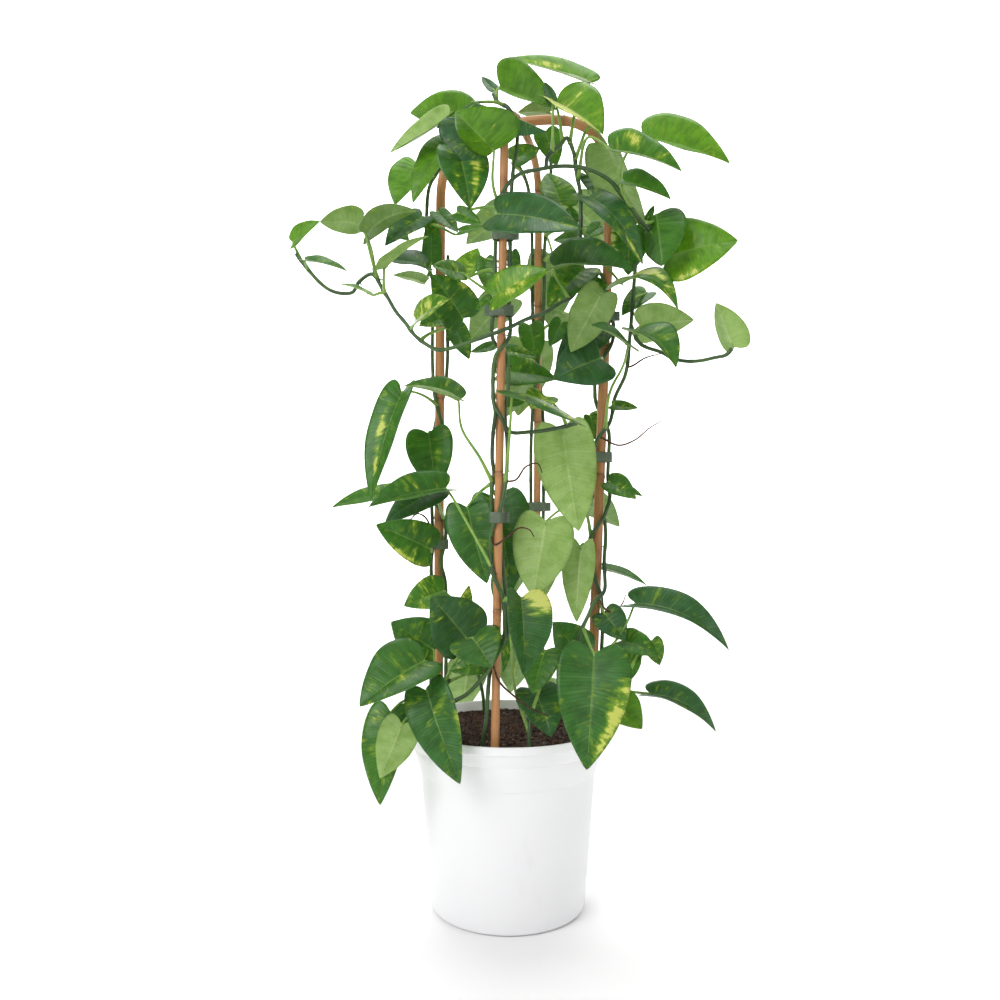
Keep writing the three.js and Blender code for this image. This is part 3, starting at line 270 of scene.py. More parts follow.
# A profile of [radius, z] turned round Z, closed where its ends reach the axis.
def latheInto(surface, profile, sides, slot):
    profile = np.asarray(profile, float)
    inner = profile[1:-1]
    angles = 2 * np.pi * np.arange(sides) / sides
    rings = np.stack([inner[:, :1] * np.cos(angles), inner[:, :1] * np.sin(angles),
                      np.repeat(inner[:, 1:], sides, 1)], -1)
    poles = np.array([[0, 0, profile[0, 1]], [0, 0, profile[-1, 1]]])
    points = np.concatenate([rings.reshape(-1, 3), poles])
    travelled = np.concatenate([[0], np.cumsum(np.linalg.norm(np.diff(inner, axis=0), axis=1))]) / 100
    map1 = gridMap(np.arange(sides + 1) / sides, travelled)
    surface.add(points, gridFaces(len(inner), sides, wrap=True), map1, map1, slot)
    addCaps(surface, len(inner), sides, slot)


hoops = {
    "hoop_side": {"radius": 5.8, "archBase": 832, "archHeight": 93,
                  "legs": [[[95, -26], [118, -26]], [[-85, 35], [-82, 35]]]},
    "hoop_front": {"radius": 4.6, "archBase": 850, "archHeight": 64,
                   "legs": [[[-15, -98], [-5, -95]], [[37, 93], [40, 93]]]},
}
canes = {"right": ("hoop_side", 0), "left": ("hoop_side", 1), "front": ("hoop_front", 0),
         "back": ("hoop_front", 1)}
straps = {
    "strap_front_high": ["front", 762, 1],
    "strap_front_middle": ["front", 680, -1],
    "strap_front_low": ["front", 457, 1],
    "strap_right_high": ["right", 687, 1],
    "strap_right_low": ["right", 525, -1],
    "strap_left": ["left", 422, -1],
    "strap_back": ["back", 467, 1],
}

# Vines. A stem's route is a list of points: [x, y, z], or [cane, z, angle, extra gap] beside a
# cane, where 0 degrees is its front and 90 its right. A leaf is [name, base, tip, width, the way
# the upper side looks, fold in degrees, arch, points of the petiole from the stem up].
vines = {
  "front_vine_a": {
    "stems": [
      [[-75, -55, 184], [-75, -55, 212], [-75, -64, 236], [-63, -78, 252], [-44, -100, 268],
        [-21, -110, 296], [-12.7, -110, 311], ["front", 326, 70], ["front", 352, 90],
        ["front", 374, 40],
        ["front", 390, 340], ["front", 410, 290], ["front", 432, 280], ["front", 444, 300],
        ["front", 460, 0],
        ["front", 487, 50], ["front", 508, 90], ["front", 540, 100], ["front", 571, 140],
        ["front", 594, 100],
        ["front", 615, 95], ["front", 636, 150], ["front", 646, 240], ["front", 690, 280],
        ["front", 707, 280],
        ["front", 745, 280], ["front", 775, 300], [-4, -110, 808], [12, -108, 824], [30, -100, 831],
        [55, -97, 836], [88, -92, 834], [111, -88, 823], [127, -84, 804], [144, -80, 783],
        [156, -76, 773]],
      [[30, -100, 831], [42, -92, 848], [56, -85, 863], [64, -78, 874], [72, -72, 860], [75, -70, 840],
        [79, -70, 819], [80, -70, 790], [79, -70, 758]]
    ],
    "leaves": [
      ["T14", [-56.5, -85, 790], [-30, -95, 775], 20, [-0.3, -0.9, 0.3], 10, 0],
      ["T10", [-15.7, -132, 839.2], [-53.8, -165, 867.1], 82, [0.2, -0.78, -0.6], [-60, 8], 0.05,
        [[-13, -99, 780], [-17, -122, 808]]],
      ["T1", [94, -30, 955.8], [-4, -40, 979], 52, [0, -0.8, 0.6], [35, 15], 0.03, [[64, -78, 874],
        [76, -62, 915]]],
      ["T4", [48.3, -84, 911.6], [39.4, -84, 932.7], 14, [-0.5, -0.8, 0], 10, 0, [[42, -92, 848],
        [48, -90, 882]]],
      ["T5", [53, -60, 921], [103, -85, 875], 80, [0.1, -0.7, 0.6], 30, 0.05, [[56, -85, 863],
        [56, -74, 896]]],
      ["T19", [111, -92, 855.6], [186, -100, 829.6], 64, [0, -0.7, 0.7], 30, 0.05, [[75, -70, 840],
        [88, -86, 872]]],
      ["T20", [155.3, -45, 886], [247.7, -60, 852.4], 80, [0, -0.75, 0.65], 28, 0.05,
        [[111, -88, 823], [132, -66, 862]]],
      ["T21", [111.4, -58, 871.6], [155, -68, 778], 66, [-0.5, 0.87, 0.1], 30, 0.05, [[72, -72, 860],
        [92, -68, 890]]],
      ["T22", [92.7, -38, 846], [141.8, -52, 783], 36, [0.3, -0.9, 0.3], 15, 0, [[75, -70, 840],
        [82, -52, 850]]],
      ["T23", [88, -75, 811], [144, -100, 729], 44, [0.3, -0.85, 0.4], 15, 0.12],
      ["T24", [125.3, -90, 822], [173.6, -104, 798], 44, [0, -0.7, 0.7], 25, 0.05, [[127, -84, 804],
        [122, -94, 814]]],
      ["T25", [156, -60, 790], [163, -60, 806], 10, [-0.4, -0.8, 0.2], 10, 0],
      ["T26a", [178.5, -60, 748], [250.4, -85, 759], 82, [0.1, -0.9, 0.35], 12, 0.05,
        [[156, -76, 773], [172, -66, 758]]],
      ["T26b", [162.6, -75, 791.2], [165.2, -98, 728.0], 64, [-0.1, -0.95, 0.1], [5, -60], 0.05,
        [[156, -76, 773], [168, -70, 788]]],
      ["T27", [140, -30, 788.4], [138, -30, 734.6], 46, [0.1, -0.95, 0.2], 10, 0],
      ["T28", [125, -65, 717], [182, -100, 681], 52, [0, -0.5, 0.85], 15, 0.28, [[79, -70, 758],
        [104, -62, 744]]],
      ["M1", [-11.6, -126, 775.5], [73.7, -146, 753.9], 68, [0, -0.87, 0.5], 12, 0.05],
      ["M3a", [-53, -45, 734], [-35, -30, 766], 36, [-0.3, -0.8, 0.4], 10, 0],
      ["M3b", [-52, -55, 731], [-84, -70, 736], 36, [0, -0.8, 0.6], 10, 0, [[-14, -95, 690],
        [-36, -70, 716]]],
      ["M6", [-15.8, -120, 690.8], [40.9, -145, 712.1], 46, [-0.1, -0.9, 0.4], 15, 0.05],
      ["K5", [-71, -40, 489], [-155, -70, 468], 58, [0, -0.6, 0.8], 30, 0.05,
        [[-20, -98, 410], [-42, -85, 445], [-63, -60, 479]]],
      ["P2", [3.2, -115, 591.2], [79.3, -140, 551.1], 66, [0.5, -0.75, 0.4], [-35, 30], 0.05,
        [[-4, -100, 508], [1, -112, 550]]],
      ["R1", [12.6, -120, 373], [14.3, -140, 294.9], 66, [0.45, -0.85, 0.3], 35, 0.05]
    ],
    "roots": [
      [[-3, -100, 499], [7, -106, 497], [19, -104, 512], [31, -102, 515], [36, -100, 505]],
      [[-20, -98, 428], [-15, -112, 428], [-1, -112, 437], [12, -106, 446], [23, -100, 443],
        [27, -96, 436]],
      [[-16, -110, 302], [-10, -106, 281], [3, -100, 267], [23, -94, 251], [43, -90, 241]]
    ]
  },
  "front_vine_b": {
    "stems": [
      [[-28, -92, 184], [-28, -92, 212], ["front", 240, 285, 2], ["front", 275, 270],
        ["front", 310, 180],
        ["front", 330, 110, 4], ["front", 368, 110, 2], ["front", 400, 130], ["front", 440, 175],
        ["front", 462, 230],
        ["front", 487, 260], ["front", 507, 225], ["front", 530, 280], ["front", 551, 300],
        ["front", 571, 320],
        ["front", 594, 270], ["front", 615, 275], ["front", 632, 320], ["front", 648, 60],
        ["front", 690, 100],
        ["front", 718, 90], ["front", 745, 90], ["front", 780, 80], [5, -91, 835], [9, -87, 862],
        [8, -84, 886], [0, -86, 903], [-12, -77, 914], [-17, -72, 925]],
      [["front", 578, 315], [-7, -108, 562], [-1, -108, 550], [23, -100, 549], [56, -85, 555],
        [75, -78, 560]]
    ],
    "leaves": [
      ["T2", [-9.5, -70, 933.5], [54.4, -40, 920.5], 74, [-0.4, -0.9, 0.1], [5, 60], 0.05],
      ["T3", [-16, -68, 931], [-30, -60, 950], 16, [0.3, -0.9, 0.2], 10, 0],
      ["T9", [-37.5, -112, 899.4], [39.5, -124, 863], 62, [0, -1, 0.2], [-60, 0], 0.03],
      ["M9", [4, -20, 764], [11, -25, 733], 18, [0.2, -0.9, 0.2], 10, 0, [[4, -95, 780]]],
      ["M11", [-26, -60, 746], [-25, -60, 711], 22, [-0.2, -0.9, 0.2], 10, 0, [[3, -95, 722],
        [-4, -78, 736]]],
      ["M12", [-18, -50, 702], [-37, -50, 691], 18, [0.1, -0.9, 0.3], 10, 0],
      ["K2", [-56, -55, 588], [-116, -62, 603.5], 56, [0, -0.4, 0.9], 30, 0.05,
        [[-15, -98, 503], [-31, -92, 521], [-51, -80, 553]]],
      ["P1", [-9.5, -62, 618.5], [55, -45, 613], 50, [0, -0.8, 0.6], 15, 0.05],
      ["P3", [-6, -70, 586], [18, -70, 584], 20, [0, -0.8, 0.5], 10, 0],
      ["P4", [41, -60, 592], [24, -75, 576], 42, [-0.2, -0.8, 0.5], 15, 0,
        [[70, -78, 560], [56, -72, 575]]],
      ["P5", [59, -75, 553], [76, -90, 442], 74, [0, 1, 0.1], 20, 0.05],
      ["PX1", [-46, -62, 468], [-23.7, -74, 383.7], 58, [-0.2, -0.9, 0.2], 15, 0.05, [[-18, -97, 487],
        [-32, -80, 484]]],
      ["PX2", [-13, -30, 476], [3, -45, 371], 72, [0.1, -0.9, 0.2], 15, 0.05, [[-18, -97, 492],
        [-18, -66, 490]]]
    ],
    "roots": []
  },
  "right_vine_a": {
    "stems": [
      [[93, -38, 184], [93, -38, 212], ["right", 238, 20, 1], ["right", 262, 70], ["right", 300, 80],
        ["right", 348, 60], ["right", 369, 30],
        ["right", 383, 350], ["right", 406, 300], ["right", 430, 280], ["right", 439, 320],
        ["right", 455, 30],
        ["right", 477, 80, 3], ["right", 500, 80], ["right", 525, 75], ["right", 545, 75],
        ["right", 575, 180],
        ["right", 600, 270], ["right", 622, 280], ["right", 642, 0], ["right", 660, 70],
        ["right", 695, 30],
        ["right", 718, 340], ["right", 736, 300], [92, -42, 737], [82, -52, 722], [72, -62, 704],
        [56, -84, 691], [39, -98, 678],
        [17, -108, 668], [1, -114, 659], [-20, -114, 651], [-42, -104, 645], [-63, -94, 640],
        [-78, -84, 640],
        [-92, -76, 648], [-104, -72, 658], [-115, -68, 673], [-125, -64, 685], [-135, -60, 702],
        [-144, -56, 717], [-152, -52, 737]],
      [[-148, -54, 727], [-154, -50, 731], [-171, -46, 721], [-177, -40, 713], [-192, -38, 712],
        [-204, -36, 716],
        [-216, -34, 725], [-227, -32, 737], [-236, -32, 748], [-244, -30, 759]]
    ],
    "leaves": [
      ["P8b", [139, -10, 491], [158, -10, 480], 10, [0, -0.8, 0.6], 10, 0],
      ["P8a", [114, -42, 496.5], [144, -52, 477], 34, [0.2, -0.8, 0.5], 15, 0.05],
      ["P6", [97, -4, 575], [105, -2, 545], 20, [0, -0.9, 0.2], 10, 0],
      ["L1", [-248, -30, 773], [-214, -45, 792], 34, [-0.3, -0.8, 0.5], 15, 0.05],
      ["L2", [-170, -40, 792], [-211, -60, 787], 38, [0, 0.75, 0.65], 20, 0.05, [[-152, -52, 737],
        [-157, -45, 765]]],
      ["L3", [-160, -58, 775], [-103.6, -48, 803], 40, [0, 0.5, 0.85], 15, 0.15, [[-144, -56, 717],
        [-154, -66, 750]]],
      ["L7", [-137.3, -74, 731.5], [-88, -88, 763.3], 34, [-0.53, 0, 0.85], 25, 0.05,
        [[-135, -60, 702], [-138, -74, 716]]],
      ["L8", [-229, -50, 747], [-180.7, -60, 732], 30, [0, -0.45, 0.9], 15, 0.05],
      ["L9", [-154, -60, 706], [-185, -75, 714], 26, [0, -0.4, 0.9], 15, 0.05],
      ["L10", [-102, -75, 675], [-64, -95, 693], 50, [-0.2, -0.7, 0.7], 15, 0.05],
      ["M2", [-51.7, -42, 682.6], [-86.5, -60, 728], 58, [-0.1, -0.8, 0.5], 15, 0.05],
      ["M7", [51, -75, 732], [136, -100, 721], 70, [0, -0.7, 0.7], 30, 0.1],
      ["M8", [87, -45, 739], [44, -60, 691], 52, [-0.2, -0.8, 0.4], 15, 0.05],
      ["M16", [103, -75, 704], [67, -95, 636], 48, [0, 0.95, 0.2], 15, 0.05],
      ["M17", [101, -42, 671.3], [53, -58, 614.3], 50, [-0.2, -0.9, 0.3], 15, 0.05],
      ["M18", [106, -45, 714], [88, -45, 731], 20, [-0.3, -0.8, 0.4], 10, 0],
      ["N7", [101, -72, 632.4], [47.6, -98, 606], 64, [0, -0.95, 0.2], 15, 0.05],
      ["Q1", [41, -80, 452.6], [26, -100, 371.3], 70, [0.1, 0.97, 0.1], 15, 0.05,
        [[94, -30, 440], [88, -40, 462], [79, -52, 470], [56, -70, 464]]],
      ["Q2", [81, -60, 424], [75, -75, 341], 40, [-0.1, 0.95, 0.2], 15, 0.05]
    ],
    "roots": []
  },
  "right_vine_b": {
    "stems": [
      [[80, -44, 184], [80, -44, 212], [78, -60, 260], [77, -70, 321], [91, -62, 351], [96, -58, 361],
        [109, -46, 373], [110, -40, 390], ["right", 408, 60], ["right", 430, 80], ["right", 455, 130],
        ["right", 477, 200], ["right", 495, 260], ["right", 528, 290], ["right", 545, 330, 2],
        ["right", 562, 30, 4], ["right", 576, 65, 3], ["right", 591, 90, 4], [134, -35, 619],
        [139.5, -35, 665],
        [144, -35, 722], [146, -35, 748]],
      [[139.5, -35, 665], [150, -38, 655], [176, -42, 643], [186, -44, 637], [200, -48, 633],
        [216, -50, 633],
        [232, -54, 636], [245, -58, 639], [250, -60, 645]]
    ],
    "leaves": [
      ["R7", [108, -48, 348], [130, -60, 318.5], 40, [0, -0.8, 0.5], 15, 0.05],
      ["N1", [130, -90, 644], [87, -120, 660], 46, [0, -0.6, 0.8], 15, 0.05,
        [[106, -40, 562], [114, -72, 600], [126, -80, 624]]],
      ["N2", [142, -65, 662], [181, -95, 619], 66, [0.3, -0.6, 0.7], 25, 0.15],
      ["N3", [151, -35, 675], [214, -30, 683], 50, [0, 0.8, 0.5], 15, 0.05],
      ["N5", [161, -20, 717], [131, -30, 688], 34, [-0.3, -0.7, 0.5], 15, 0.05],
      ["N6", [251.3, -60, 646.9], [228.7, -75, 693.0], 46, [0.2, 0.9, 0.2], [10, 60], 0.05],
      ["P7", [119, -40, 584], [146, -55, 579], 18, [0, -0.8, 0.6], 10, 0],
      ["Q3", [113, -8, 396], [161, -20, 377], 26, [0, -0.3, 0.9], 15, 0.05],
      ["Q4", [143, -50, 359], [243, -75, 310], 56, [0, -0.5, 0.85], 30, 0.15,
        [[78, -66, 300], [112, -60, 310], [130, -56, 332]]],
      ["R2", [90, -115, 312], [79, -150, 200], 82, [0.05, -0.95, 0.3], 15, 0.05,
        [[79, -70, 325], [86, -90, 323]]]
    ],
    "roots": [
      [[134, -35, 619], [140, -42, 628], [155, -44, 637], [174, -46, 642]],
      [[113, -34, 541], [127, -42, 538], [144, -44, 544], [161, -46, 558], [175, -46, 566]],
      [[100, -56, 365], [111, -52, 351], [119, -46, 349], [129, -44, 357], [134, -44, 370]]
    ]
  },
  "left_vine_a": {
    "stems": [
      [[-75.4, 33.4, 184], [-75.4, 33.4, 212], ["left", 240, 80], ["left", 345, 80],
        ["left", 377, 60], ["left", 400, 20],
        ["left", 427, 60], ["left", 451, 50], ["left", 466, 0, 1], ["left", 475, 330, 3],
        ["left", 490, 310, 3],
        ["left", 507, 0, 1], ["left", 525, 60], ["left", 549, 60], ["left", 561, 40], ["left", 580, 0],
        ["left", 604, 320], ["left", 640, 290], ["left", 690, 280], ["left", 743, 280],
        [-98.7, 22, 765], [-98, 18, 795], [-97.5, 15, 819], [-93, 10, 852], [-79, 0, 872],
        [-68, -20, 895],
        [-50, -35, 913]]
    ],
    "leaves": [
      ["J2", [-54, 10, 338], [-46, 0, 375], 20, [0.2, -0.9, 0.1], 10, 0],
      ["T6", [-43.2, -20, 923.1], [-113.1, -30, 921.3], 58, [0, -0.96, 0.28], [0, 10], 0.08],
      ["T7", [-67.4, -45, 909.4], [-132.0, -65, 862.2], 46, [0, 0.9, -0.3], [5, -60], 0.05],
      ["T8", [-49.6, -84, 893], [-30.5, -92, 832], 62, [-0.1, -0.95, 0.3], [-55, 5], 0.05],
      ["T11", [-70.8, -45, 882.1], [-106.3, -66, 806.2], 46, [-0.45, -0.85, 0.3], 15, 0.05],
      ["T12", [-107.7, 0, 874.6], [-131.5, -20, 818.5], 54, [-0.3, -0.85, 0.4], 15, 0.05],
      ["T13", [-54.1, -88, 854.7], [-41.6, -106, 787.0], 60, [0.3, -0.9, 0.2], 15, 0.05],
      ["L4", [-99.8, -14, 807], [-141.5, -32, 767.7], 44, [-0.2, -0.8, 0.5], 15, 0.05],
      ["L5", [-131, 10, 796], [-118, 10, 786], 14, [0, -0.9, 0.3], 10, 0],
      ["L6", [-96, -24, 747.5], [-148.4, -42, 749], 60, [0, -0.6, 0.8], 15, 0.05],
      ["L12", [-101, 15, 738], [-137, 0, 742], 26, [0, 0.3, 1], 15, 0.05],
      ["L13", [-92.4, 16, 760], [-91, 8, 820], 26, [0.3, -0.9, 0.1], 10, 0.05],
      ["M4", [-56, -30, 785], [-26, -45, 787], 18, [0, -0.8, 0.6], 10, 0],
      ["M5", [-82, -15, 812], [-58, -30, 784], 26, [0.2, -0.8, 0.5], 10, 0],
      ["K7", [-82.2, -28, 487.8], [-139.7, -46, 450.3], 44, [-0.1, -0.8, 0.5], 15, 0.05,
        [[-80, 24, 455], [-80, 0, 464]]],
      ["K1", [-123.4, -20, 601.2], [-155.3, -50, 475.7], 54, [-0.5, -0.8, 0.2], 25, 0.05]
    ],
    "roots": []
  },
  "left_vine_b": {
    "stems": [
      [[-94.6, 36.5, 184], [-94.6, 36.5, 212], ["left", 240, 262], ["left", 345, 270],
        ["left", 370, 280], ["left", 402, 270],
        ["left", 427, 240], ["left", 451, 250], ["left", 475, 265], ["left", 525, 270],
        ["left", 549, 250],
        ["left", 580, 200], ["left", 604, 150], ["left", 640, 110], ["left", 690, 100],
        ["left", 743, 100],
        ["left", 775, 100]]
    ],
    "leaves": [
      ["L11", [-77, 0, 691], [-104, -15, 679], 30, [0, -0.8, 0.5], 15, 0],
      ["M15", [-64, 20, 685], [-46, 5, 643], 28, [0.1, -0.9, 0.3], 10, 0],
      ["K4", [-95, 14, 556], [-84.6, 4, 487], 60, [-0.1, -0.95, 0.2], 15, 0.05],
      ["K6", [-134, 0, 485], [-207, -10, 467], 34, [0, -0.6, 0.8], 15, 0.05],
      ["K8", [-92, -5, 418], [-153, -25, 447], 54, [-0.1, -0.9, 0.3], 15, 0.05],
      ["J1", [-75.9, 2, 367.8], [-121.9, -12, 351.6], 48, [-0.1, -0.8, 0.5], 15, 0.05]
    ],
    "roots": [
      [[-93, 35, 447], [-100, 22, 455], [-109, 8, 459], [-120, 8, 450], [-132, 12, 447]]
    ]
  },
  "back_vine_a": {
    "stems": [
      [[46.2, 92, 184], [46.2, 92, 212], ["back", 240, 85], ["back", 300, 60], ["back", 360, 0],
        ["back", 420, 300],
        ["back", 480, 270], ["back", 560, 280], ["back", 620, 330], ["back", 680, 30],
        ["back", 740, 70],
        ["back", 800, 80], [51, 90, 835], [54, 80, 870], [54, 62, 900], [50, 46, 918]]
    ],
    "leaves": [
      ["T16", [46, 40, 928], [60, 40, 885], 36, [0.1, -0.9, 0.2], 10, 0.05],
      ["T17", [51, 30, 947], [12, 20, 943], 36, [0, 0.3, 0.9], 15, 0.05],
      ["M19", [64, 20, 832], [49, 40, 877], 50, [0.3, -0.9, 0.2], 15, 0.05],
      ["M20", [76, 10, 808], [74, 10, 828], 20, [0.2, -0.9, 0.1], 10, 0],
      ["M21", [85, 0, 788], [54, 10, 786], 30, [0, -0.8, 0.6], 10, 0],
      ["M22", [111, 5, 802], [91, 0, 786], 24, [0, -0.8, 0.6], 10, 0],
      ["M14", [28, 60, 694], [36, 50, 646], 34, [0, -0.95, 0.2], 10, 0.05],
      ["M15b", [67, 50, 696], [52, 50, 666], 26, [0, -0.95, 0.2], 10, 0],
      ["B2", [75, 128, 235], [108, 150, 160], 66, [0.4, 0.8, 0.4], 15, 0.05],
      ["B6", [3.7, 125, 465.2], [-36.6, 160, 394.3], 62, [-0.3, 0.85, 0.4], 15, 0.05, [[30, 108, 438]]],
      ["B9", [12, 122, 622], [0, 146, 588], 52, [-0.3, 0.7, 0.6], 15, 0.05],
      ["B11", [80, 120, 720], [130, 150, 660], 66, [0.4, 0.8, 0.4], 15, 0.05],
      ["B13", [60, 135, 800], [60, 165, 710], 72, [0.1, 0.95, 0.3], 15, 0.05],
      ["B15", [85, 105, 860], [140, 140, 810], 64, [0.4, 0.7, 0.55], 15, 0.05]
    ],
    "roots": []
  },
  "back_vine_b": {
    "stems": [
      [[27.8, 93, 184], [27.8, 93, 212], ["back", 240, 265], ["back", 300, 240], ["back", 360, 180],
        ["back", 420, 120],
        ["back", 480, 90], ["back", 560, 100], ["back", 620, 150], ["back", 680, 210],
        ["back", 740, 250],
        ["back", 800, 260], [30, 85, 840], [24, 62, 872], [12, 42, 890]]
    ],
    "leaves": [
      ["B4", [43.4, 130, 430.7], [53.1, 165, 345.0], 60, [0.1, 0.95, 0.3], 15, 0.05],
      ["T15", [6, 20, 885], [39, 30, 904], 34, [0, -0.9, 0.4], 15, 0.05],
      ["M23", [-18, 40, 665], [-46, 40, 657], 18, [0, -0.8, 0.6], 10, 0],
      ["M24", [-2, 30, 658], [35, 30, 650], 24, [0, -0.8, 0.6], 10, 0],
      ["B3", [13.0, 128, 393.8], [-9.5, 150, 325.0], 58, [-0.4, 0.8, 0.4], 15, 0.05],
      ["B5", [85, 110, 480], [150, 140, 440], 62, [0.4, 0.7, 0.6], 15, 0.05],
      ["B7", [70.2, 135, 559.4], [66.7, 165, 470.3], 70, [0, 0.95, 0.3], 15, 0.05],
      ["B10", [30, 135, 680], [15, 165, 590], 76, [-0.1, 0.95, 0.3], 15, 0.05],
      ["B12", [0, 120, 740], [-50, 150, 690], 62, [-0.4, 0.8, 0.4], 15, 0.05],
      ["B14", [5, 115, 850], [-55, 150, 820], 60, [-0.3, 0.7, 0.6], 15, 0.05]
    ],
    "roots": []
  },
  "low_left_vine": {
    "stems": [
      [[-92, -34, 184], [-92, -34, 212], [-88, -48, 240], [-77, -58, 262], [-66, -66, 276]]
    ],
    "leaves": [
      ["J8", [-26, -80, 295], [-65, -80, 288], 25, [0, -0.8, 0.6], 10, 0.05],
      ["J3", [-47, -60, 321], [-86, -75, 369], 72, [-0.1, -0.85, 0.5], 15, 0.05],
      ["J9", [-85.1, -35, 303.8], [-133.8, -40, 336.5], 60, [-0.1, -0.9, 0.4], 15, 0.05,
        [[-77, -58, 262], [-84, -44, 284]]],
      ["J4", [-39, -105, 328], [-18, -135, 302], 60, [-0.1, -0.75, 0.65], 15, 0.05],
      ["J5", [-92, -85, 300], [-158, -115, 257], 88, [-0.3, -0.6, 0.75], 20, 0.05],
      ["J6", [-88, -105, 272], [-51, -135, 181], 58, [-0.3, -0.9, 0.3], 15, 0.05],
      ["J7a", [-130.3, -70, 240.7], [-139.9, -90, 144.2], 58, [-0.4, -0.85, 0.2], 15, 0.05,
        [[-86, -52, 250], [-109, -66, 255], [-120, -72, 251]]],
      ["J7b", [-115.0, -100, 234.7], [-137.1, -112, 180.1], 46, [0.2, 0.9, 0.2], 15, 0.05,
        [[-82, -55, 256], [-100, -84, 250]]]
    ],
    "roots": []
  },
  "low_right_vine": {
    "stems": [
      [[81, -62, 184], [81, -62, 212], [97, -66, 240], [110, -62, 256], [122, -54, 270],
        [134, -48, 282],
        [146, -44, 290]]
    ],
    "leaves": [
      ["R12", [80.9, -50, 300.6], [49.8, -60, 339.2], 52, [0.1, -0.9, 0.3], 15, 0.05, [[97, -66, 240],
        [88, -54, 272]]],
      ["R5", [114.0, -75, 255.1], [144.8, -90, 226.8], 48, [0.3, -0.8, 0.5], 15, 0.05],
      ["R6", [158, -60, 259], [226, -85, 223], 44, [0, -0.4, 0.9], 30, 0.15, [[110, -62, 256],
        [134, -64, 262]]],
      ["R8", [130, -40, 316], [166, -60, 302], 40, [0, -0.7, 0.7], 15, 0.05, [[122, -54, 270],
        [124, -46, 296]]],
      ["R9", [162, -50, 317], [171, -50, 289], 24, [0, -0.9, 0.3], 10, 0, [[146, -44, 290],
        [156, -46, 306]]],
      ["R10", [140, -45, 300], [129, -45, 264], 26, [0, -0.9, 0.3], 10, 0.05, [[146, -44, 290],
        [146, -46, 304]]]
    ],
    "roots": []
  },
  "low_front_vine": {
    "stems": [
      [[22, -92, 184], [22, -92, 212], [24, -84, 236], [29, -72, 254]]
    ],
    "leaves": [
      ["R3", [29.6, -62, 263.5], [46, -90, 218], 56, [0.2, -0.8, 0.5], 15, 0.05],
      ["R4", [40, -80, 311], [26, -95, 266], 44, [-0.2, -0.8, 0.5], 15, 0.05, [[24, -84, 236],
        [36, -78, 276]]],
      ["R11", [2, -40, 327], [-6, -40, 279], 14, [0, -0.95, 0.2], 10, 0, [[22, -92, 212],
        [8, -66, 262]]]
    ],
    "roots": []
  },
  "low_back_vine": {
    "stems": [
      [[-30, 92, 184], [-30, 92, 212], [-36, 98, 245], [-46, 102, 270]]
    ],
    "leaves": [
      ["B1", [20, 125, 290], [5, 160, 215], 70, [-0.2, 0.9, 0.35], 15, 0.05],
      ["B17", [-60, 115, 300], [-115, 135, 250], 62, [-0.4, 0.7, 0.6], 15, 0.05],
      ["B18", [-50, 120, 262], [-60, 150, 190], 58, [-0.1, 0.95, 0.3], 15, 0.05]
    ],
    "roots": []
  }
}


hoopShape = {"legFoot": 205, "archPower": 2.8, "archSteps": 12, "buriedInset": 0.86, "buriedHeight": 60,
             "knotSpacing": 148, "knotLip": 0.7, "fineArchSteps": 120, "fineStep": 0.8, "sides": 24}
stemShape = {"radius": 2.3, "step": 28, "clearance": 1.2, "turnStep": 42, "fineStep": 3.5, "sides": 10,
             "budShare": 0.4, "slimness": 0.97, "budSwelling": 0.2, "budWidth": 4.5,
             "jointSpacing": 58, "jointSwelling": 0.12, "jointWidth": 2.2}
rootShape = {"stubLowest": 225, "stubReach": (3, 6), "stubRadii": (0.9, 0.75, 0.25), "stubSides": 5,
             "radius": 1.25, "taper": 0.7, "step": 3.0, "sides": 7}


# The middle of a cane leg at a height: a straight line from its foot to where the arch begins.
def caneAt(cane, z):
    hoop, leg = canes[cane]
    foot, top = np.array(hoops[hoop]["legs"][leg], float)
    share = (z - hoopShape["legFoot"]) / (hoops[hoop]["archBase"] - hoopShape["legFoot"])
    return np.array([*(foot + (top - foot) * share), z])


def besideCane(cane, z, degrees, gap):
    reach = hoops[canes[cane][0]]["radius"] + stemShape["radius"] + stemShape["clearance"] + gap
    angle = np.radians(degrees)
    return caneAt(cane, z) + [reach * np.sin(angle), -reach * np.cos(angle), 0]


# A route's points, winding round the cane between two places on the same cane.
def routePoints(route):
    points, before = [], None
    for place in route:
        if isinstance(place[0], str):
            cane, z, angle, gap = (*place, 0)[:4]
            if before is not None and before[0] == cane:
                _, z0, angle0, gap0 = (*before, 0)[:4]
                turn = (angle - angle0 + 540) % 360 - 180
                parts = int(np.ceil(abs(turn) / stemShape["turnStep"]))
                for i in range(1, parts):
                    t = i / parts
                    points.append(besideCane(cane, z0 + (z - z0) * t, angle0 + turn * t,
                                             gap0 + (gap - gap0) * t))
            points.append(besideCane(cane, z, angle, gap))
        else:
            points.append(np.array(place, float))
        before = place
    return np.array(points)


# Places inside a stem, between its samples, where petioles, roots and side stems begin.
def budPoints(line):
    return line[:-1] + (line[1:] - line[:-1]) * stemShape["budShare"]


def nearest(points, target):
    return points[np.argmin(np.linalg.norm(points - np.asarray(target, float), axis=1))]


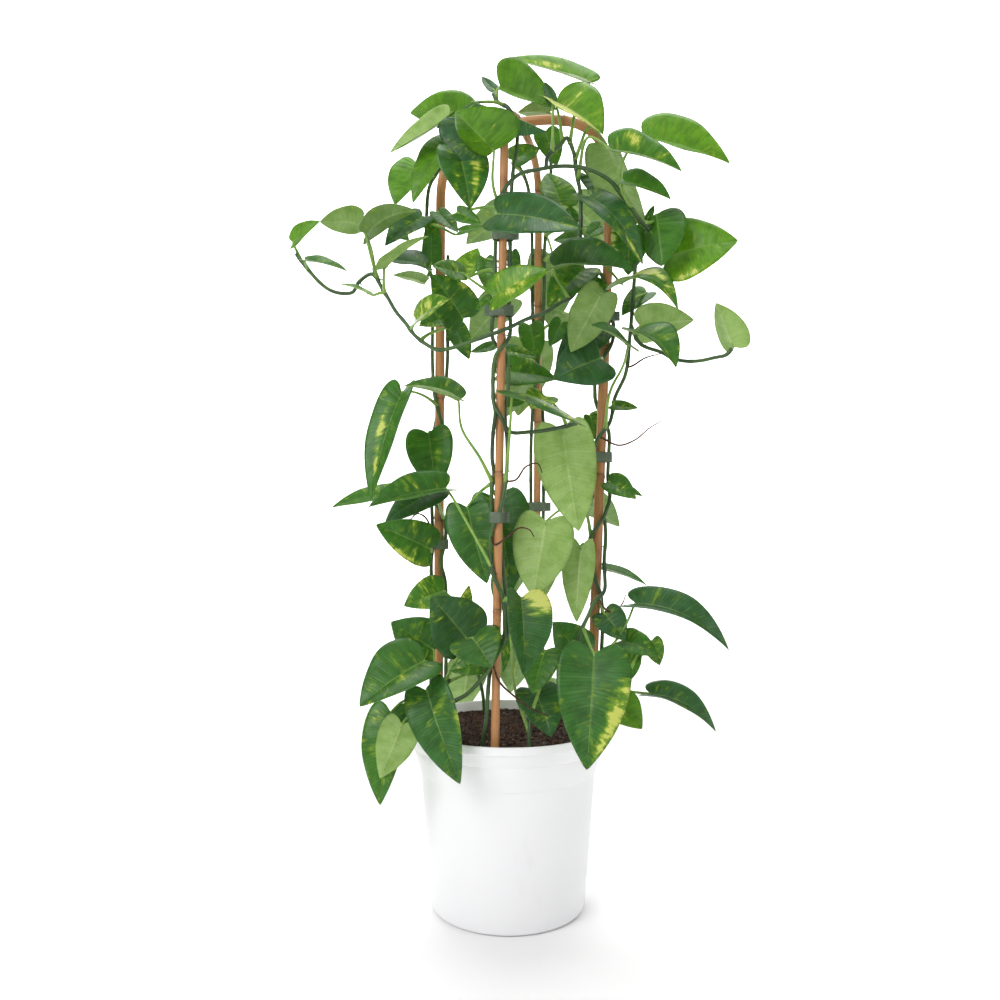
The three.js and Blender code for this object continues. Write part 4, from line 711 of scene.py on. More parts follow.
# Half outline of a blade as shares of its width and length, from the petiole's seat to the tip,
# and where the side vein that ends there leaves the midrib.
outline = {
    "edge": [[0.03, 0.0], [0.12, -0.07], [0.29, -0.115], [0.42, -0.05], [0.49, 0.11], [0.488, 0.28],
             [0.435, 0.48], [0.335, 0.66], [0.215, 0.81], [0.11, 0.915], [0.038, 0.98], [0.005, 1.0]],
    "midrib": [0.0, 0.006, 0.02, 0.06, 0.13, 0.24, 0.39, 0.55, 0.71, 0.85, 0.95, 1.0],
    "parts": [2, 2, 3, 3, 3, 3, 3, 3, 2, 2, 1],
    "across": [0.0, 0.035, 0.12, 0.25, 0.4, 0.56, 0.72, 0.87, 1.0],
}
leafShape = {"thickness": 0.5, "midribDepth": 1.1, "waveHeight": 0.02, "edgeCurl": 0.035,
             "petioleRadius": 1.9, "petioleSides": 8, "petioleStep": 4.0}
petioleBend = {"rise": 0.5, "leave": 0.35, "arriveBehind": 0.16, "arriveBelow": 0.22}


# The outline's edge and midrib sampled smoothly, part by part.
def outlineRows():
    knots = np.array([[*edge, rib] for edge, rib in zip(outline["edge"], outline["midrib"])])
    chords = np.diff(knots, axis=0)
    slopes = (np.concatenate([chords[:1], chords]) + np.concatenate([chords, chords[-1:]])) / 2
    rows = [knots[:1]]
    for i, parts in enumerate(outline["parts"]):
        t = (np.arange(1, parts + 1) / parts)[:, None]
        rows.append(knots[i] * (2 * t**3 - 3 * t**2 + 1) + knots[i + 1] * (3 * t**2 - 2 * t**3)
                    + slopes[i] * (t**3 - 2 * t**2 + t) + slopes[i + 1] * (t**3 - t**2))
    return np.concatenate(rows)


edgeRows = outlineRows()
rowCount = len(edgeRows)
alongShare = np.linspace(0, 1, rowCount)
halfAcross = np.array(outline["across"])
acrossShare = np.concatenate([-halfAcross[:0:-1], halfAcross])
columnCount = len(acrossShare)


# A leaf's own directions: along its midrib, out from its upper side, and to its right.
def leafFrame(leaf):
    _, base, tip, _, face = leaf[:5]
    base, tip = np.array(base, float), np.array(tip, float)
    along = tip - base
    length = np.linalg.norm(along)
    along /= length
    up = np.array(face, float)
    up = unit(up - along * (up @ along))
    return base, along, length, up, np.cross(along, up)


# A petiole leaves its stem rising, and meets the blade's base from behind and below.
def petioleLine(leaf, stemPoints, step):
    base, along, _, up, _ = leafFrame(leaf)
    via = [np.array(point, float) for point in leaf[7]] if len(leaf) > 7 else []
    start = nearest(stemPoints, via[0] if via else base)
    if len(via) > 1:
        return smoothLine([start, *via[1:], base], step, 4)
    span = np.linalg.norm(base - start)
    leave = unit(unit(base - start) + [0, 0, petioleBend["rise"]])
    second = start + leave * petioleBend["leave"] * span
    third = base - along * petioleBend["arriveBehind"] * span - up * petioleBend["arriveBelow"] * span
    t = np.linspace(0, 1, max(6, int(span / step)))[:, None]
    return (start * (1 - t)**3 + second * 3 * t * (1 - t)**2 + third * 3 * t**2 * (1 - t) + base * t**3)


# A blade's upper side. Each row of the grid is a side vein, from the midrib to the edge: the place
# along is the midrib's share moved towards the edge's, and the lift is the fold (the share across
# times the width), the arch (a parabola along), a wave along the edge and a curl at it.
def bladePoints(leaf, seed):
    width, fold, arch = leaf[3], leaf[5], leaf[6]
    base, along, length, up, right = leafFrame(leaf)
    folds = np.radians(fold if isinstance(fold, list) else [fold, fold])  # left and right half
    s = np.abs(acrossShare)[None, :]
    sign = np.sign(acrossShare)[None, :]
    edge, down, rib = (edgeRows[:, k][:, None] for k in range(3))
    across = s * edge
    place = rib + (down - rib) * s**1.15
    angle = np.where(sign < 0, folds[0], folds[1])
    phase = seed * 6.3
    wave = (np.sin(alongShare[:, None] * 9 + phase + sign)
            + 0.6 * np.sin(alongShare[:, None] * 17 + 2 * phase - sign))
    inside = np.clip(across * 2.2, 0, 1) ** 2 * np.sin(np.pi * np.clip(alongShare[:, None], 0.02, 0.98))
    lift = (across * width * np.sin(angle) + arch * length * 4 * place * (1 - place)
            + leafShape["waveHeight"] * width * wave * inside
            - leafShape["edgeCurl"] * width * s**4 * edge * 2
            - 0.35 * np.exp(-(s / 0.05) ** 2))
    out = sign * across * width * np.cos(angle)
    return (base + place[..., None] * length * along + out[..., None] * right + lift[..., None] * up,
            across * sign, place)


def addLeaf(surface, leaf, stemPoints, look, seed):
    width = leaf[3]
    toneAndPaintedLight, creamShare, pale, *patches = look
    base, along, length, up, right = leafFrame(leaf)
    top, across, place = bladePoints(leaf, seed)
    across = np.broadcast_to(across, top.shape[:2])
    place = np.broadcast_to(place, top.shape[:2])
    s = np.broadcast_to(acrossShare[None, :], top.shape[:2])
    t = np.broadcast_to(alongShare[:, None], top.shape[:2])
    normal = np.cross(np.gradient(top, axis=1), np.gradient(top, axis=0))
    normal = unit(normal + 1e-9)
    normal *= np.where(np.sum(normal * up, -1, keepdims=True) < 0, -1, 1)
    midrib = np.exp(-(s / 0.05)**2) * (1 - t)**0.7
    thick = leafShape["thickness"] * (1 - 0.5 * s**2) + leafShape["midribDepth"] * midrib
    low = top - normal * thick[..., None]
    cream = np.full(s.shape, creamShare)
    for side, down, reachAcross, reachDown, strength in patches:
        reach = ((s - side) / reachAcross) ** 2 + ((place - down) / reachDown) ** 2
        cream = cream + strength * np.exp(-reach**1.5)
    marks = {"leafToneAndPaintedLight": toneAndPaintedLight, "cream": np.tile(cream.ravel(), 2), "creamPale": pale, "seed": seed}
    count = rowCount * columnCount
    faces = gridFaces(rowCount, columnCount)
    veins = gridMap(acrossShare, alongShare)
    flatPlaces = np.stack([across * width / 100, place * length / 100], -1).reshape(-1, 2)
    points = np.concatenate([top.reshape(-1, 3), low.reshape(-1, 3)])
    surface.add(points, faces, veins, flatPlaces[faces], 0, marks)
    surface.addFaces(faces[:, ::-1] + count, veins[:, ::-1], flatPlaces[faces[:, ::-1]], 1)
    ring = np.concatenate([
        np.arange(columnCount), np.arange(1, rowCount) * columnCount + columnCount - 1,
        (rowCount - 1) * columnCount + np.arange(columnCount - 2, -1, -1),
        np.arange(rowCount - 2, 0, -1) * columnCount,
    ])
    following = np.roll(ring, -1)
    rim = np.stack([following, ring, ring + count, following + count], 1)
    rimMap = np.stack([np.sign(s.ravel()[ring]), t.ravel()[ring]], -1)[:, None, :].repeat(4, 1)
    surface.addFaces(rim, rimMap, flatPlaces[rim % count], 1, flat=True)

    line = petioleLine(leaf, stemPoints, leafShape["petioleStep"])
    line = np.concatenate([line, (base + along * 5 - up * 0.9)[None]])
    share = np.linspace(0, 1, len(line))
    radii = leafShape["petioleRadius"] * (1 + 0.45 * np.exp(-share * 9) - 0.3 * share)
    radii[-1] *= 0.4
    addTube(surface, line, radii, leafShape["petioleSides"], 2, {"leafToneAndPaintedLight": toneAndPaintedLight, "seed": seed})


# How each leaf looks: a colour value from 0 dark bluish to 1 bright yellow-green. It is partly the leaf's own
# colour, darker when old, and partly painted light: the low bluish values paint the sky's reflection on
# upturned leaves, and the high values paint the glow of backlit top leaves. Then come the share of
# variegation, pale 0 yellow to 1 cream white, then patches [side, along, reach across, reach along,
# strength]. What a row leaves out is drawn at random or plain.
looks = {
    "T1": [0.85, 0.1, 0.2, [0.3, 0.5, 0.25, 0.5, 0.3]], "T2": [0.85, 0.03], "T3": [0.1, 0.0],
    "T4": [0.15, 0.0], "T5": [0.85, 0.2, 0.3, [0.6, 0.45, 0.5, 0.6, 0.6]], "T6": [0.85, 0.05],
    "T7": [0.85, 0.05], "T8": [0.05, 0.08, 0.2, [-0.75, 0.45, 0.5, 0.35, 0.7]],
    "T9": [0.12, 0.12, 0.2, [0.1, 0.3, 0.12, 0.1, 0.5]], "T10": [0.8, 0.1], "T11": [0.8, 0.1],
    "T12": [0.85, 0.0], "T13": [0.3, 0.12, 0.2, [-0.5, 0.45, 0.2, 0.45, 0.4]],
    "T19": [0.6, 0.16, 0.2, [-0.6, 0.2, 0.3, 0.2, 0.3]],
    "T20": [0.9, 0.08, 0.2, [0.2, 0.9, 0.5, 0.12, 0.3]], "T21": [0.6, 0.0], "T22": [0.3, 0.1],
    "T23": [0.15, 0.16, 0.2, [0.5, 0.85, 0.4, 0.2, 0.4]],
    "T24": [0.55, 0.1, 0.2, [0.6, 0.6, 0.3, 0.3, 0.2]],
    "T26a": [0.9, 0.06, 0.2, [0.9, 0.35, 0.2, 0.4, 0.4]], "T26b": [0.55, 0.0],
    "T27": [0.45, 0.1, 0.6, [0.9, 0.3, 0.2, 0.5, 0.6]], "T28": [0.5, 0.2, 0.4, [-0.4, 0.3, 0.25, 0.3, 0.6]],
    "M1": [0.15, 0.06, 0.2, [0.2, 0.85, 0.5, 0.12, 0.4]],
    "M2": [0.35, 0.14, 0.2, [0.9, 0.4, 0.2, 0.5, 0.3]], "M3a": [0.8, 0.3, 0.2], "M3b": [0.5, 0.2],
    "M6": [0.8, 0.2, 0.2, [0.3, 0.35, 0.4, 0.3, 0.25]], "M7": [0.3, 0.03], "M8": [0.45, 0.22], "M9": [0.3],
    "M16": [0.6, 0.1], "M17": [0.12, 0.08], "M19": [0.62, 0.2], "L1": [0.85, 0.05], "L2": [0.75],
    "L3": [0.4, 0.2], "L4": [0.1], "L6": [0.12, 0.1], "L7": [0.75, 0.1], "L8": [0.5, 0.15], "L9": [0.75],
    "L10": [0.55, 0.4, 0.3],
    "K1": [0.45, 0.1, 0.2, [0.35, 0.35, 0.12, 0.25, 0.45], [0.2, 0.75, 0.2, 0.3, 0.3]], "K2": [0.4, 0.2],
    "K4": [0.45, 0.08, 0.2, [-0.3, 0.5, 0.2, 0.3, 0.3]], "K5": [0.35, 0.15], "K7": [0.1, 0.05],
    "K8": [0.4, 0.15, 0.2, [-0.9, 0.4, 0.15, 0.3, 0.5]], "J1": [0.55, 0.24], "J2": [0.55, 0.4],
    "J3": [0.15, 0.08], "J4": [0.3, 0.15], "J5": [0.35, 0.14, 0.2, [-0.3, 0.4, 0.3, 0.3, 0.15]],
    "J6": [0.25, 0.1, 0.2, [-0.95, 0.5, 0.1, 0.3, 0.4]], "J7a": [0.5, 0.15], "J7b": [0.8, 0.05],
    "J8": [0.55], "N1": [0.3, 0.15], "N2": [0.4, 0.15], "N3": [0.8, 0.0], "N6": [0.85, 0.05],
    "N7": [0.08, 0.05], "P1": [0.55, 0.1], "P2": [0.3, 0.18, 0.2, [0.1, 0.7, 0.3, 0.4, 0.3]],
    "P4": [0.5, 0.4], "P5": [0.9, 0.0], "P8a": [0.4, 0.16], "PX1": [0.3, 0.12], "PX2": [0.2, 0.1],
    "Q1": [0.85, 0.05], "Q2": [0.8, 0.05], "Q4": [0.1, 0.08],
    "R1": [0.2, 0.05, 0.3, [-0.7, 0.02, 0.6, 0.22, 0.7]],
    "R2": [0.3, 0.1, 0.2, [-0.8, 0.6, 0.3, 0.4, 0.45]], "R3": [0.1], "R5": [0.85, 0.12], "R6": [0.1, 0.06],
    "R7": [0.1], "R12": [0.35, 0.1], "J9": [0.3, 0.16], "R8": [0.4],
}

# dark and bright hold painted light as well as leaf colour: the bluish dark is a painted sky reflection, the
# bright yellow-green a painted backlit glow
leafPaint = {
    "dark": "#2d5f3c", "middle": "#3a7a1c", "bright": "#6ca414", "lime": "#a3c832",
    "underDark": "#7d9f68", "underBright": "#a9cb6c", "yellow": "#dbe04a", "cream": "#f1efc2",
    "veinCount": 11, "roughness": 0.36, "specular": 0.5, "glow": 0.22,
}


# Waxy leaf blade, grown. The upper side shows a soft gloss broken by shallow side veins, a paler
# midrib and yellow-cream streaks that run with the veins; the underside is paler and duller. Its green
# also carries painted light: a painted sky reflection in the bluish dark leaves and a painted backlit glow in
# the bright ones.
def leafMaterial(name, under):
    material, add = newMaterial(name)
    toneAndPaintedLight = add("mark", attribute_name="leafToneAndPaintedLight")
    cream = add("mark", attribute_name="cream")
    pale = add("mark", attribute_name="creamPale")
    seed = add("mark", attribute_name="seed")
    veins = add("map", uv_map="veins")
    blade = add("map", uv_map="blade")
    side, along = add("x", veins), add("y", veins)
    away = add("ABSOLUTE", side)
    shift = add("MULTIPLY", seed, 37.0)
    sided = add("MULTIPLY", add("SIGN", side), 5.0)
    fanned = add("xyz", add("MULTIPLY_ADD", along, 9.0, shift), add("ADD", away, sided), shift)
    plane = add("move", blade, add("xyz", shift, shift))
    streaks = add("noise", fanned, 1.0, 5.0, 0.65, 0.3)
    threads = add("noise", add("stretch", fanned, (4.5, 1.6, 1.0)), 1.0, 3.0, 0.6)
    blotches = add("noise", plane, 6.0, 3.0, 0.6)  # about 16 mm across
    fine = add("noise", plane, 60.0, 2.0)
    # variegation shows where streaks, blotches and threads, each less its mean, and the leaf's own
    # share add up to about a half
    wanted = add("ADD", add("MULTIPLY_ADD", streaks, 1.5, -0.75), add("MULTIPLY_ADD", blotches, 0.6, -0.3))
    wanted = add("ADD", wanted, add("MULTIPLY_ADD", threads, 0.8, -0.4))
    wanted = add("ADD", wanted, cream)
    mask = add("band", wanted, 0.42, 0.58)
    halo = add("band", wanted, 0.18, 0.46)
    # side veins: a narrow line where the place along, times their number, passes a whole number
    waves = add("PINGPONG", add("MULTIPLY", along, leafPaint["veinCount"]), 0.5)
    hairs = add("PINGPONG", add("MULTIPLY", along, leafPaint["veinCount"] * 4), 0.5)
    veinLine = add("MULTIPLY", add("band", waves, 0.12, 0.0), add("band", away, 1.0, 0.3))
    hairLine = add("band", hairs, 0.5, 0.1)
    midrib = add("band", away, 0.05, 0.012)
    # both sides take their green from the leaf's colour value, which holds painted light: bluish dark for a
    # painted sky reflection, bright yellow-green for a painted backlit glow
    if under:
        green = add("mix", toneAndPaintedLight, leafPaint["underDark"], leafPaint["underBright"])
        green = add("mix", add("MULTIPLY", hairLine, 0.14), green, "#c9dca2")
        green = add("mix", add("MULTIPLY", veinLine, 0.4), green, "#c3d89a")
        green = add("mix", add("MULTIPLY", midrib, 0.8), green, "#c0d890")
    else:
        green = add("mix", add("band", toneAndPaintedLight, 0.0, 0.5), leafPaint["dark"], leafPaint["middle"])
        green = add("mix", add("band", toneAndPaintedLight, 0.45, 1.0), green, leafPaint["bright"])
        green = add("mix", add("MULTIPLY", hairLine, 0.08), green, "#9cbb62")
        green = add("mix", add("MULTIPLY", veinLine, 0.16), green, "#9cbb62")
        green = add("mix", add("MULTIPLY", midrib, 0.4), green, "#a6c46c")
    mottled = add("mix", add("band", blotches, 0.35, 0.75), green,
                  add("darken", 1.0, green, "#d2e0bc" if under else "#b4ca94"))
    mottled = add("mix", add("MULTIPLY", add("band", threads, 0.5, 0.68), 0.15 if under else 0.5),
                  mottled, add("darken", 1.0, mottled, "#8fb07a"))
    mottled = add("mix", add("MULTIPLY", halo, 0.2 if under else 0.5), mottled, leafPaint["lime"])
    creamy = add("mix", pale, leafPaint["yellow"], leafPaint["cream"])
    creamy = add("mix", add("MULTIPLY", fine, 0.3), creamy, "#b6c94a")
    colour = add("mix", add("MULTIPLY", mask, 0.45 if under else 0.95), mottled, creamy)
    relief = add("ADD", add("MULTIPLY", waves, -0.7 if under else 0.9),
                 add("MULTIPLY_ADD", hairs, 0.12, add("MULTIPLY", fine, 0.12)))
    rough = add("MULTIPLY_ADD", blotches, 0.18, (0.5 if under else leafPaint["roughness"]) - 0.09)
    finish(material, colour, rough, (relief, 0.55, 0.0009),
           {"IOR": 1.45, "Specular IOR Level": leafPaint["specular"]})
    nodes = material.node_tree.nodes
    through = add("through", add("mix", 0.5, colour, "#9cc83a"))
    mixed = add("shade", leafPaint["glow"], nodes["Principled BSDF"].outputs[0], through)
    material.node_tree.links.new(mixed, nodes["Material Output"].inputs["Surface"])
    return material


# Smooth green plant skin, grown: long faint ribs, a few darker flecks and a low gloss.
def stalkMaterial(name, dark, light, scale):
    material, add = newMaterial(name)
    around = add("map", uv_map="veins")
    place = add("place")
    long = add("stretch", around, (6.0, 1.2, 1.0))
    ribs = add("noise", long, 1.6, 2.0)
    patches = add("noise", place, scale, 3.0, 0.6)
    flecks = add("band", add("noise", place, 900.0, 1.0), 0.64, 0.7)
    colour = add("mix", add("band", patches, 0.35, 0.65), dark, light)
    colour = add("mix", add("MULTIPLY", ribs, 0.35), colour, light)
    colour = add("mix", add("MULTIPLY", flecks, 0.5), colour, "#4a3a22")
    return finish(material, colour, add("MULTIPLY_ADD", ribs, 0.2, 0.32), (ribs, 0.3, 0.0004))


# Dry aerial root and node sheath: dark brown skin, wrinkled across, quite matt.
def rootMaterial():
    material, add = newMaterial("aerial root skin")
    place = add("place")
    grain = add("noise", place, 420.0, 3.0, 0.7)
    colour = add("mix", add("band", grain, 0.35, 0.7), "#2e1c12", "#6b4327")
    return finish(material, colour, add("MULTIPLY_ADD", grain, 0.2, 0.65), (grain, 0.5, 0.0005))


vineMaterials = [
    leafMaterial("pothos leaf upper side", False),
    leafMaterial("pothos leaf underside", True),
    stalkMaterial("pothos petiole skin", "#5f8d38", "#8db04c", 40.0),
    stalkMaterial("pothos stem skin", "#263f22", "#45662f", 25.0),
    rootMaterial(),
]


# One vine as one piece: its stems with their nodes, petioles, blades and aerial roots.
def growVine(name, vine, number):
    surface = Surface()
    draw = np.random.default_rng(100 + number)
    coarse, fine = [], []
    for i, route in enumerate(vine["stems"]):
        points = routePoints(route)
        if i > 0:
            points[0] = nearest(np.concatenate([budPoints(line) for line in coarse]), points[0])
        coarse.append(smoothLine(points, stemShape["step"]))
        fine.append(smoothLine(points, stemShape["fineStep"]))
    stemPoints = np.concatenate([budPoints(line) for line in coarse])
    nodePlaces = []
    for i, leaf in enumerate(vine["leaves"]):
        seed = float(draw.uniform(0, 1))
        drawn = [0.25 + 0.35 * seed, 0.08 + 0.14 * float(draw.uniform(0, 1)), 0.2]
        given = looks.get(leaf[0], [])
        look = given + drawn[len(given):]
        addLeaf(surface, leaf, stemPoints, look, seed)
        nodePlaces.append(petioleLine(leaf, stemPoints, leafShape["petioleStep"])[0])
    nodePlaces = np.array(nodePlaces)
    for line in fine:
        apart = np.linalg.norm(line[:, None] - nodePlaces[None], axis=2).min(axis=1)
        travelled = lengthsAlong(line)
        spacing = stemShape["jointSpacing"]
        rings = np.exp(-((travelled % spacing - spacing / 2) / stemShape["jointWidth"]) ** 2)
        buds = np.exp(-(apart / stemShape["budWidth"]) ** 2)
        radii = stemShape["radius"] * (stemShape["slimness"] + stemShape["budSwelling"] * buds
                                       + stemShape["jointSwelling"] * rings)
        addTube(surface, line, radii, stemShape["sides"], 3, {"seed": number / 12})
        # a short brown stub of a root at every other joint of the stem
        for station in np.flatnonzero((rings[1:-1] > rings[:-2]) & (rings[1:-1] >= rings[2:]))[::2] + 1:
            if line[station][2] < rootShape["stubLowest"]:
                continue
            turn = draw.uniform(0, 2 * np.pi)
            _, side, up = carriedFrames(line[max(station - 1, 0):station + 2])
            out = side[1] * np.cos(turn) + up[1] * np.sin(turn)
            reach = draw.uniform(*rootShape["stubReach"])
            stub = line[station] + out * np.array([[0.0], [0.5], [1.0]]) * (stemShape["radius"] + reach)
            addTube(surface, stub - [0, 0, 0.8], np.array(rootShape["stubRadii"]), rootShape["stubSides"], 4)
    for root in vine["roots"]:
        points = np.array(root, float)
        points[0] = nearest(stemPoints, points[0])
        line = smoothLine(points, rootShape["step"], 3)
        share = np.linspace(0, 1, len(line))
        radii = rootShape["radius"] - rootShape["taper"] * share**2
        addTube(surface, line, radii, rootShape["sides"], 4)
    surface.toObject(name, vineMaterials, "vine", name)


for number, (name, vine) in enumerate(vines.items()):
    growVine(name, vine, number)
print("vines grown")


pot = {"sides": 168, "lineHeight": 190, "lineDepth": 0.35}


# Outside from the underside to the lip, then inside down to the floor: straight tapers joined by
# rounded corners, with a low ring two thirds up and a fine line under the rim band.
def potProfile():
    wallLow, wallHigh = np.array([90.2, 4.6]), np.array([102.5, 159.8])
    taper = wallLow + (wallHigh - wallLow) * np.linspace(0, 1, 12)[:, None]
    ring = [[102.7, 160.6], [103.25, 161.0], [103.6, 161.7], [103.75, 162.6]]
    flareLow, flareHigh = np.array([104.1, 163.8]), np.array([116.9, 203.2])
    share = (pot["lineHeight"] - flareLow[1]) / (flareHigh[1] - flareLow[1])
    flare = flareLow + (flareHigh - flareLow) * np.array([0, 0.2, 0.4, share - 0.02, share - 0.008, share,
                                                          share + 0.008, share + 0.02, 0.85, 1])[:, None]
    flare[4:7, 0] -= np.array([0.6, 1, 0.6]) * pot["lineDepth"]
    band = [[117.2, 204.0], [118.4, 204.5], [119.5, 204.9], [119.95, 205.6], [120.05, 207], [120.05, 211.4],
            [119.95, 212.7], [119.5, 213.6], [118.7, 214.0], [117.8, 213.95], [117.0, 213.5], [116.6, 212.6]]
    inside = [[115.6, 205], [110, 188.5], [101.4, 163.6], [101.0, 162], [95, 90], [87.2, 6], [86.2, 3.9],
              [84.5, 3.0]]
    foot = [[84.6, 0.0], [86.4, 0.15], [88.2, 1.0], [89.5, 2.5]]
    return np.concatenate([[[0, 0]], foot, taper, ring, flare, band, inside, [[0, 3.0]]])


# White polypropylene, injection moulded: satin, a faint waviness and fine pebble in the gloss.
def plasticMaterial():
    material, add = newMaterial("white moulded polypropylene")
    place = add("place")
    wide = add("noise", place, 9.0, 2.0)
    fine = add("noise", place, 1400.0, 1.0)
    dust = add("noise", add("stretch", place, (1.0, 1.0, 0.3)), 30.0, 4.0, 0.65)
    colour = add("mix", add("MULTIPLY", wide, 0.5), "#f3f3f4", "#ebebee")
    colour = add("mix", add("MULTIPLY", add("band", dust, 0.62, 0.8), 0.12), colour, "#cfc7ba")
    return finish(material, colour, add("MULTIPLY_ADD", dust, 0.16, 0.3), (fine, 0.08, 0.0002), {"IOR": 1.49})


potSurface = Surface()
latheInto(potSurface, potProfile(), pot["sides"], 0)
potSurface.toObject("pot_body", [plasticMaterial()], "pot", "pot")


soil = {"edge": 115.0, "edgeHeight": 203.5, "crown": 207.5, "rings": 150, "sides": 300, "clods": 2.2,
        "crumbs": 900, "fibres": 170, "perlite": 60}


# Smooth noise from -1 to 1: random numbers on a square lattice, eased between its corners.
def valueNoise(points, size, seed):
    table = np.random.default_rng(seed).uniform(-1, 1, (64, 64))
    cell = points / size
    low = np.floor(cell).astype(int)
    t = cell - low
    t = t * t * (3 - 2 * t)
    corner = [[table[(low[..., 0] + i) % 64, (low[..., 1] + j) % 64] for j in (0, 1)] for i in (0, 1)]
    return ((corner[0][0] * (1 - t[..., 0]) + corner[1][0] * t[..., 0]) * (1 - t[..., 1])
            + (corner[0][1] * (1 - t[..., 0]) + corner[1][1] * t[..., 0]) * t[..., 1])


# A low crown that falls to the edge, with clods of three sizes; the clods fade at the wall.
def soilHeight(x, y):
    radius = np.hypot(x, y)
    crown = soil["crown"] - (soil["crown"] - soil["edgeHeight"]) * (radius / soil["edge"]) ** 2
    points = np.stack([x, y], -1)
    clods = (valueNoise(points, 17.0, 1) + 0.55 * np.abs(valueNoise(points, 6.5, 2)) * 2 - 0.5
             + 0.3 * valueNoise(points, 2.4, 3))
    return crown - 1.2 + soil["clods"] * clods * np.clip((soil["edge"] - radius) / 8, 0.15, 1)


# Moist potting compost, loose: nearly black brown crumb with rusty bark fibres, fully matt.
def soilMaterial():
    material, add = newMaterial("moist potting compost")
    place = add("place")
    crumb = add("noise", place, 350.0, 5.0, 0.72)
    patches = add("noise", place, 60.0, 3.0, 0.6)
    threads = add("noise", add("stretch", place, (1.0, 5.0, 1.0), (0, 0, 0.6)), 160.0, 3.0, 0.6, 1.5)
    colour = add("mix", add("band", crumb, 0.3, 0.68), "#1f110c", "#40291d")
    colour = add("mix", add("MULTIPLY", add("band", patches, 0.45, 0.7), 0.6), colour, "#4f3322")
    colour = add("mix", add("MULTIPLY", add("band", threads, 0.66, 0.72), 0.7), colour, "#83583a")
    return finish(material, colour, add("MULTIPLY_ADD", crumb, 0.15, 0.83), (crumb, 0.9, 0.0015))


# Shredded bark and coir fibre: dry, fibrous, lighter than the compost round it.
def barkMaterial():
    material, add = newMaterial("shredded bark fibre")
    place = add("place")
    grain = add("noise", place, 260.0, 3.0, 0.7)
    colour = add("mix", add("band", grain, 0.3, 0.7), "#4a2c1c", "#8f6341")
    return finish(material, colour, add("MULTIPLY_ADD", grain, 0.15, 0.78))


# Perlite grains: expanded mineral, chalky and stained a little by the compost.
def perliteMaterial():
    material, add = newMaterial("perlite grain")
    place = add("place")
    stain = add("noise", place, 500.0, 3.0, 0.7)
    colour = add("mix", add("band", stain, 0.4, 0.75), "#b9b0a2", "#6e5c4c")
    return finish(material, colour, add("MULTIPLY_ADD", stain, 0.1, 0.85))


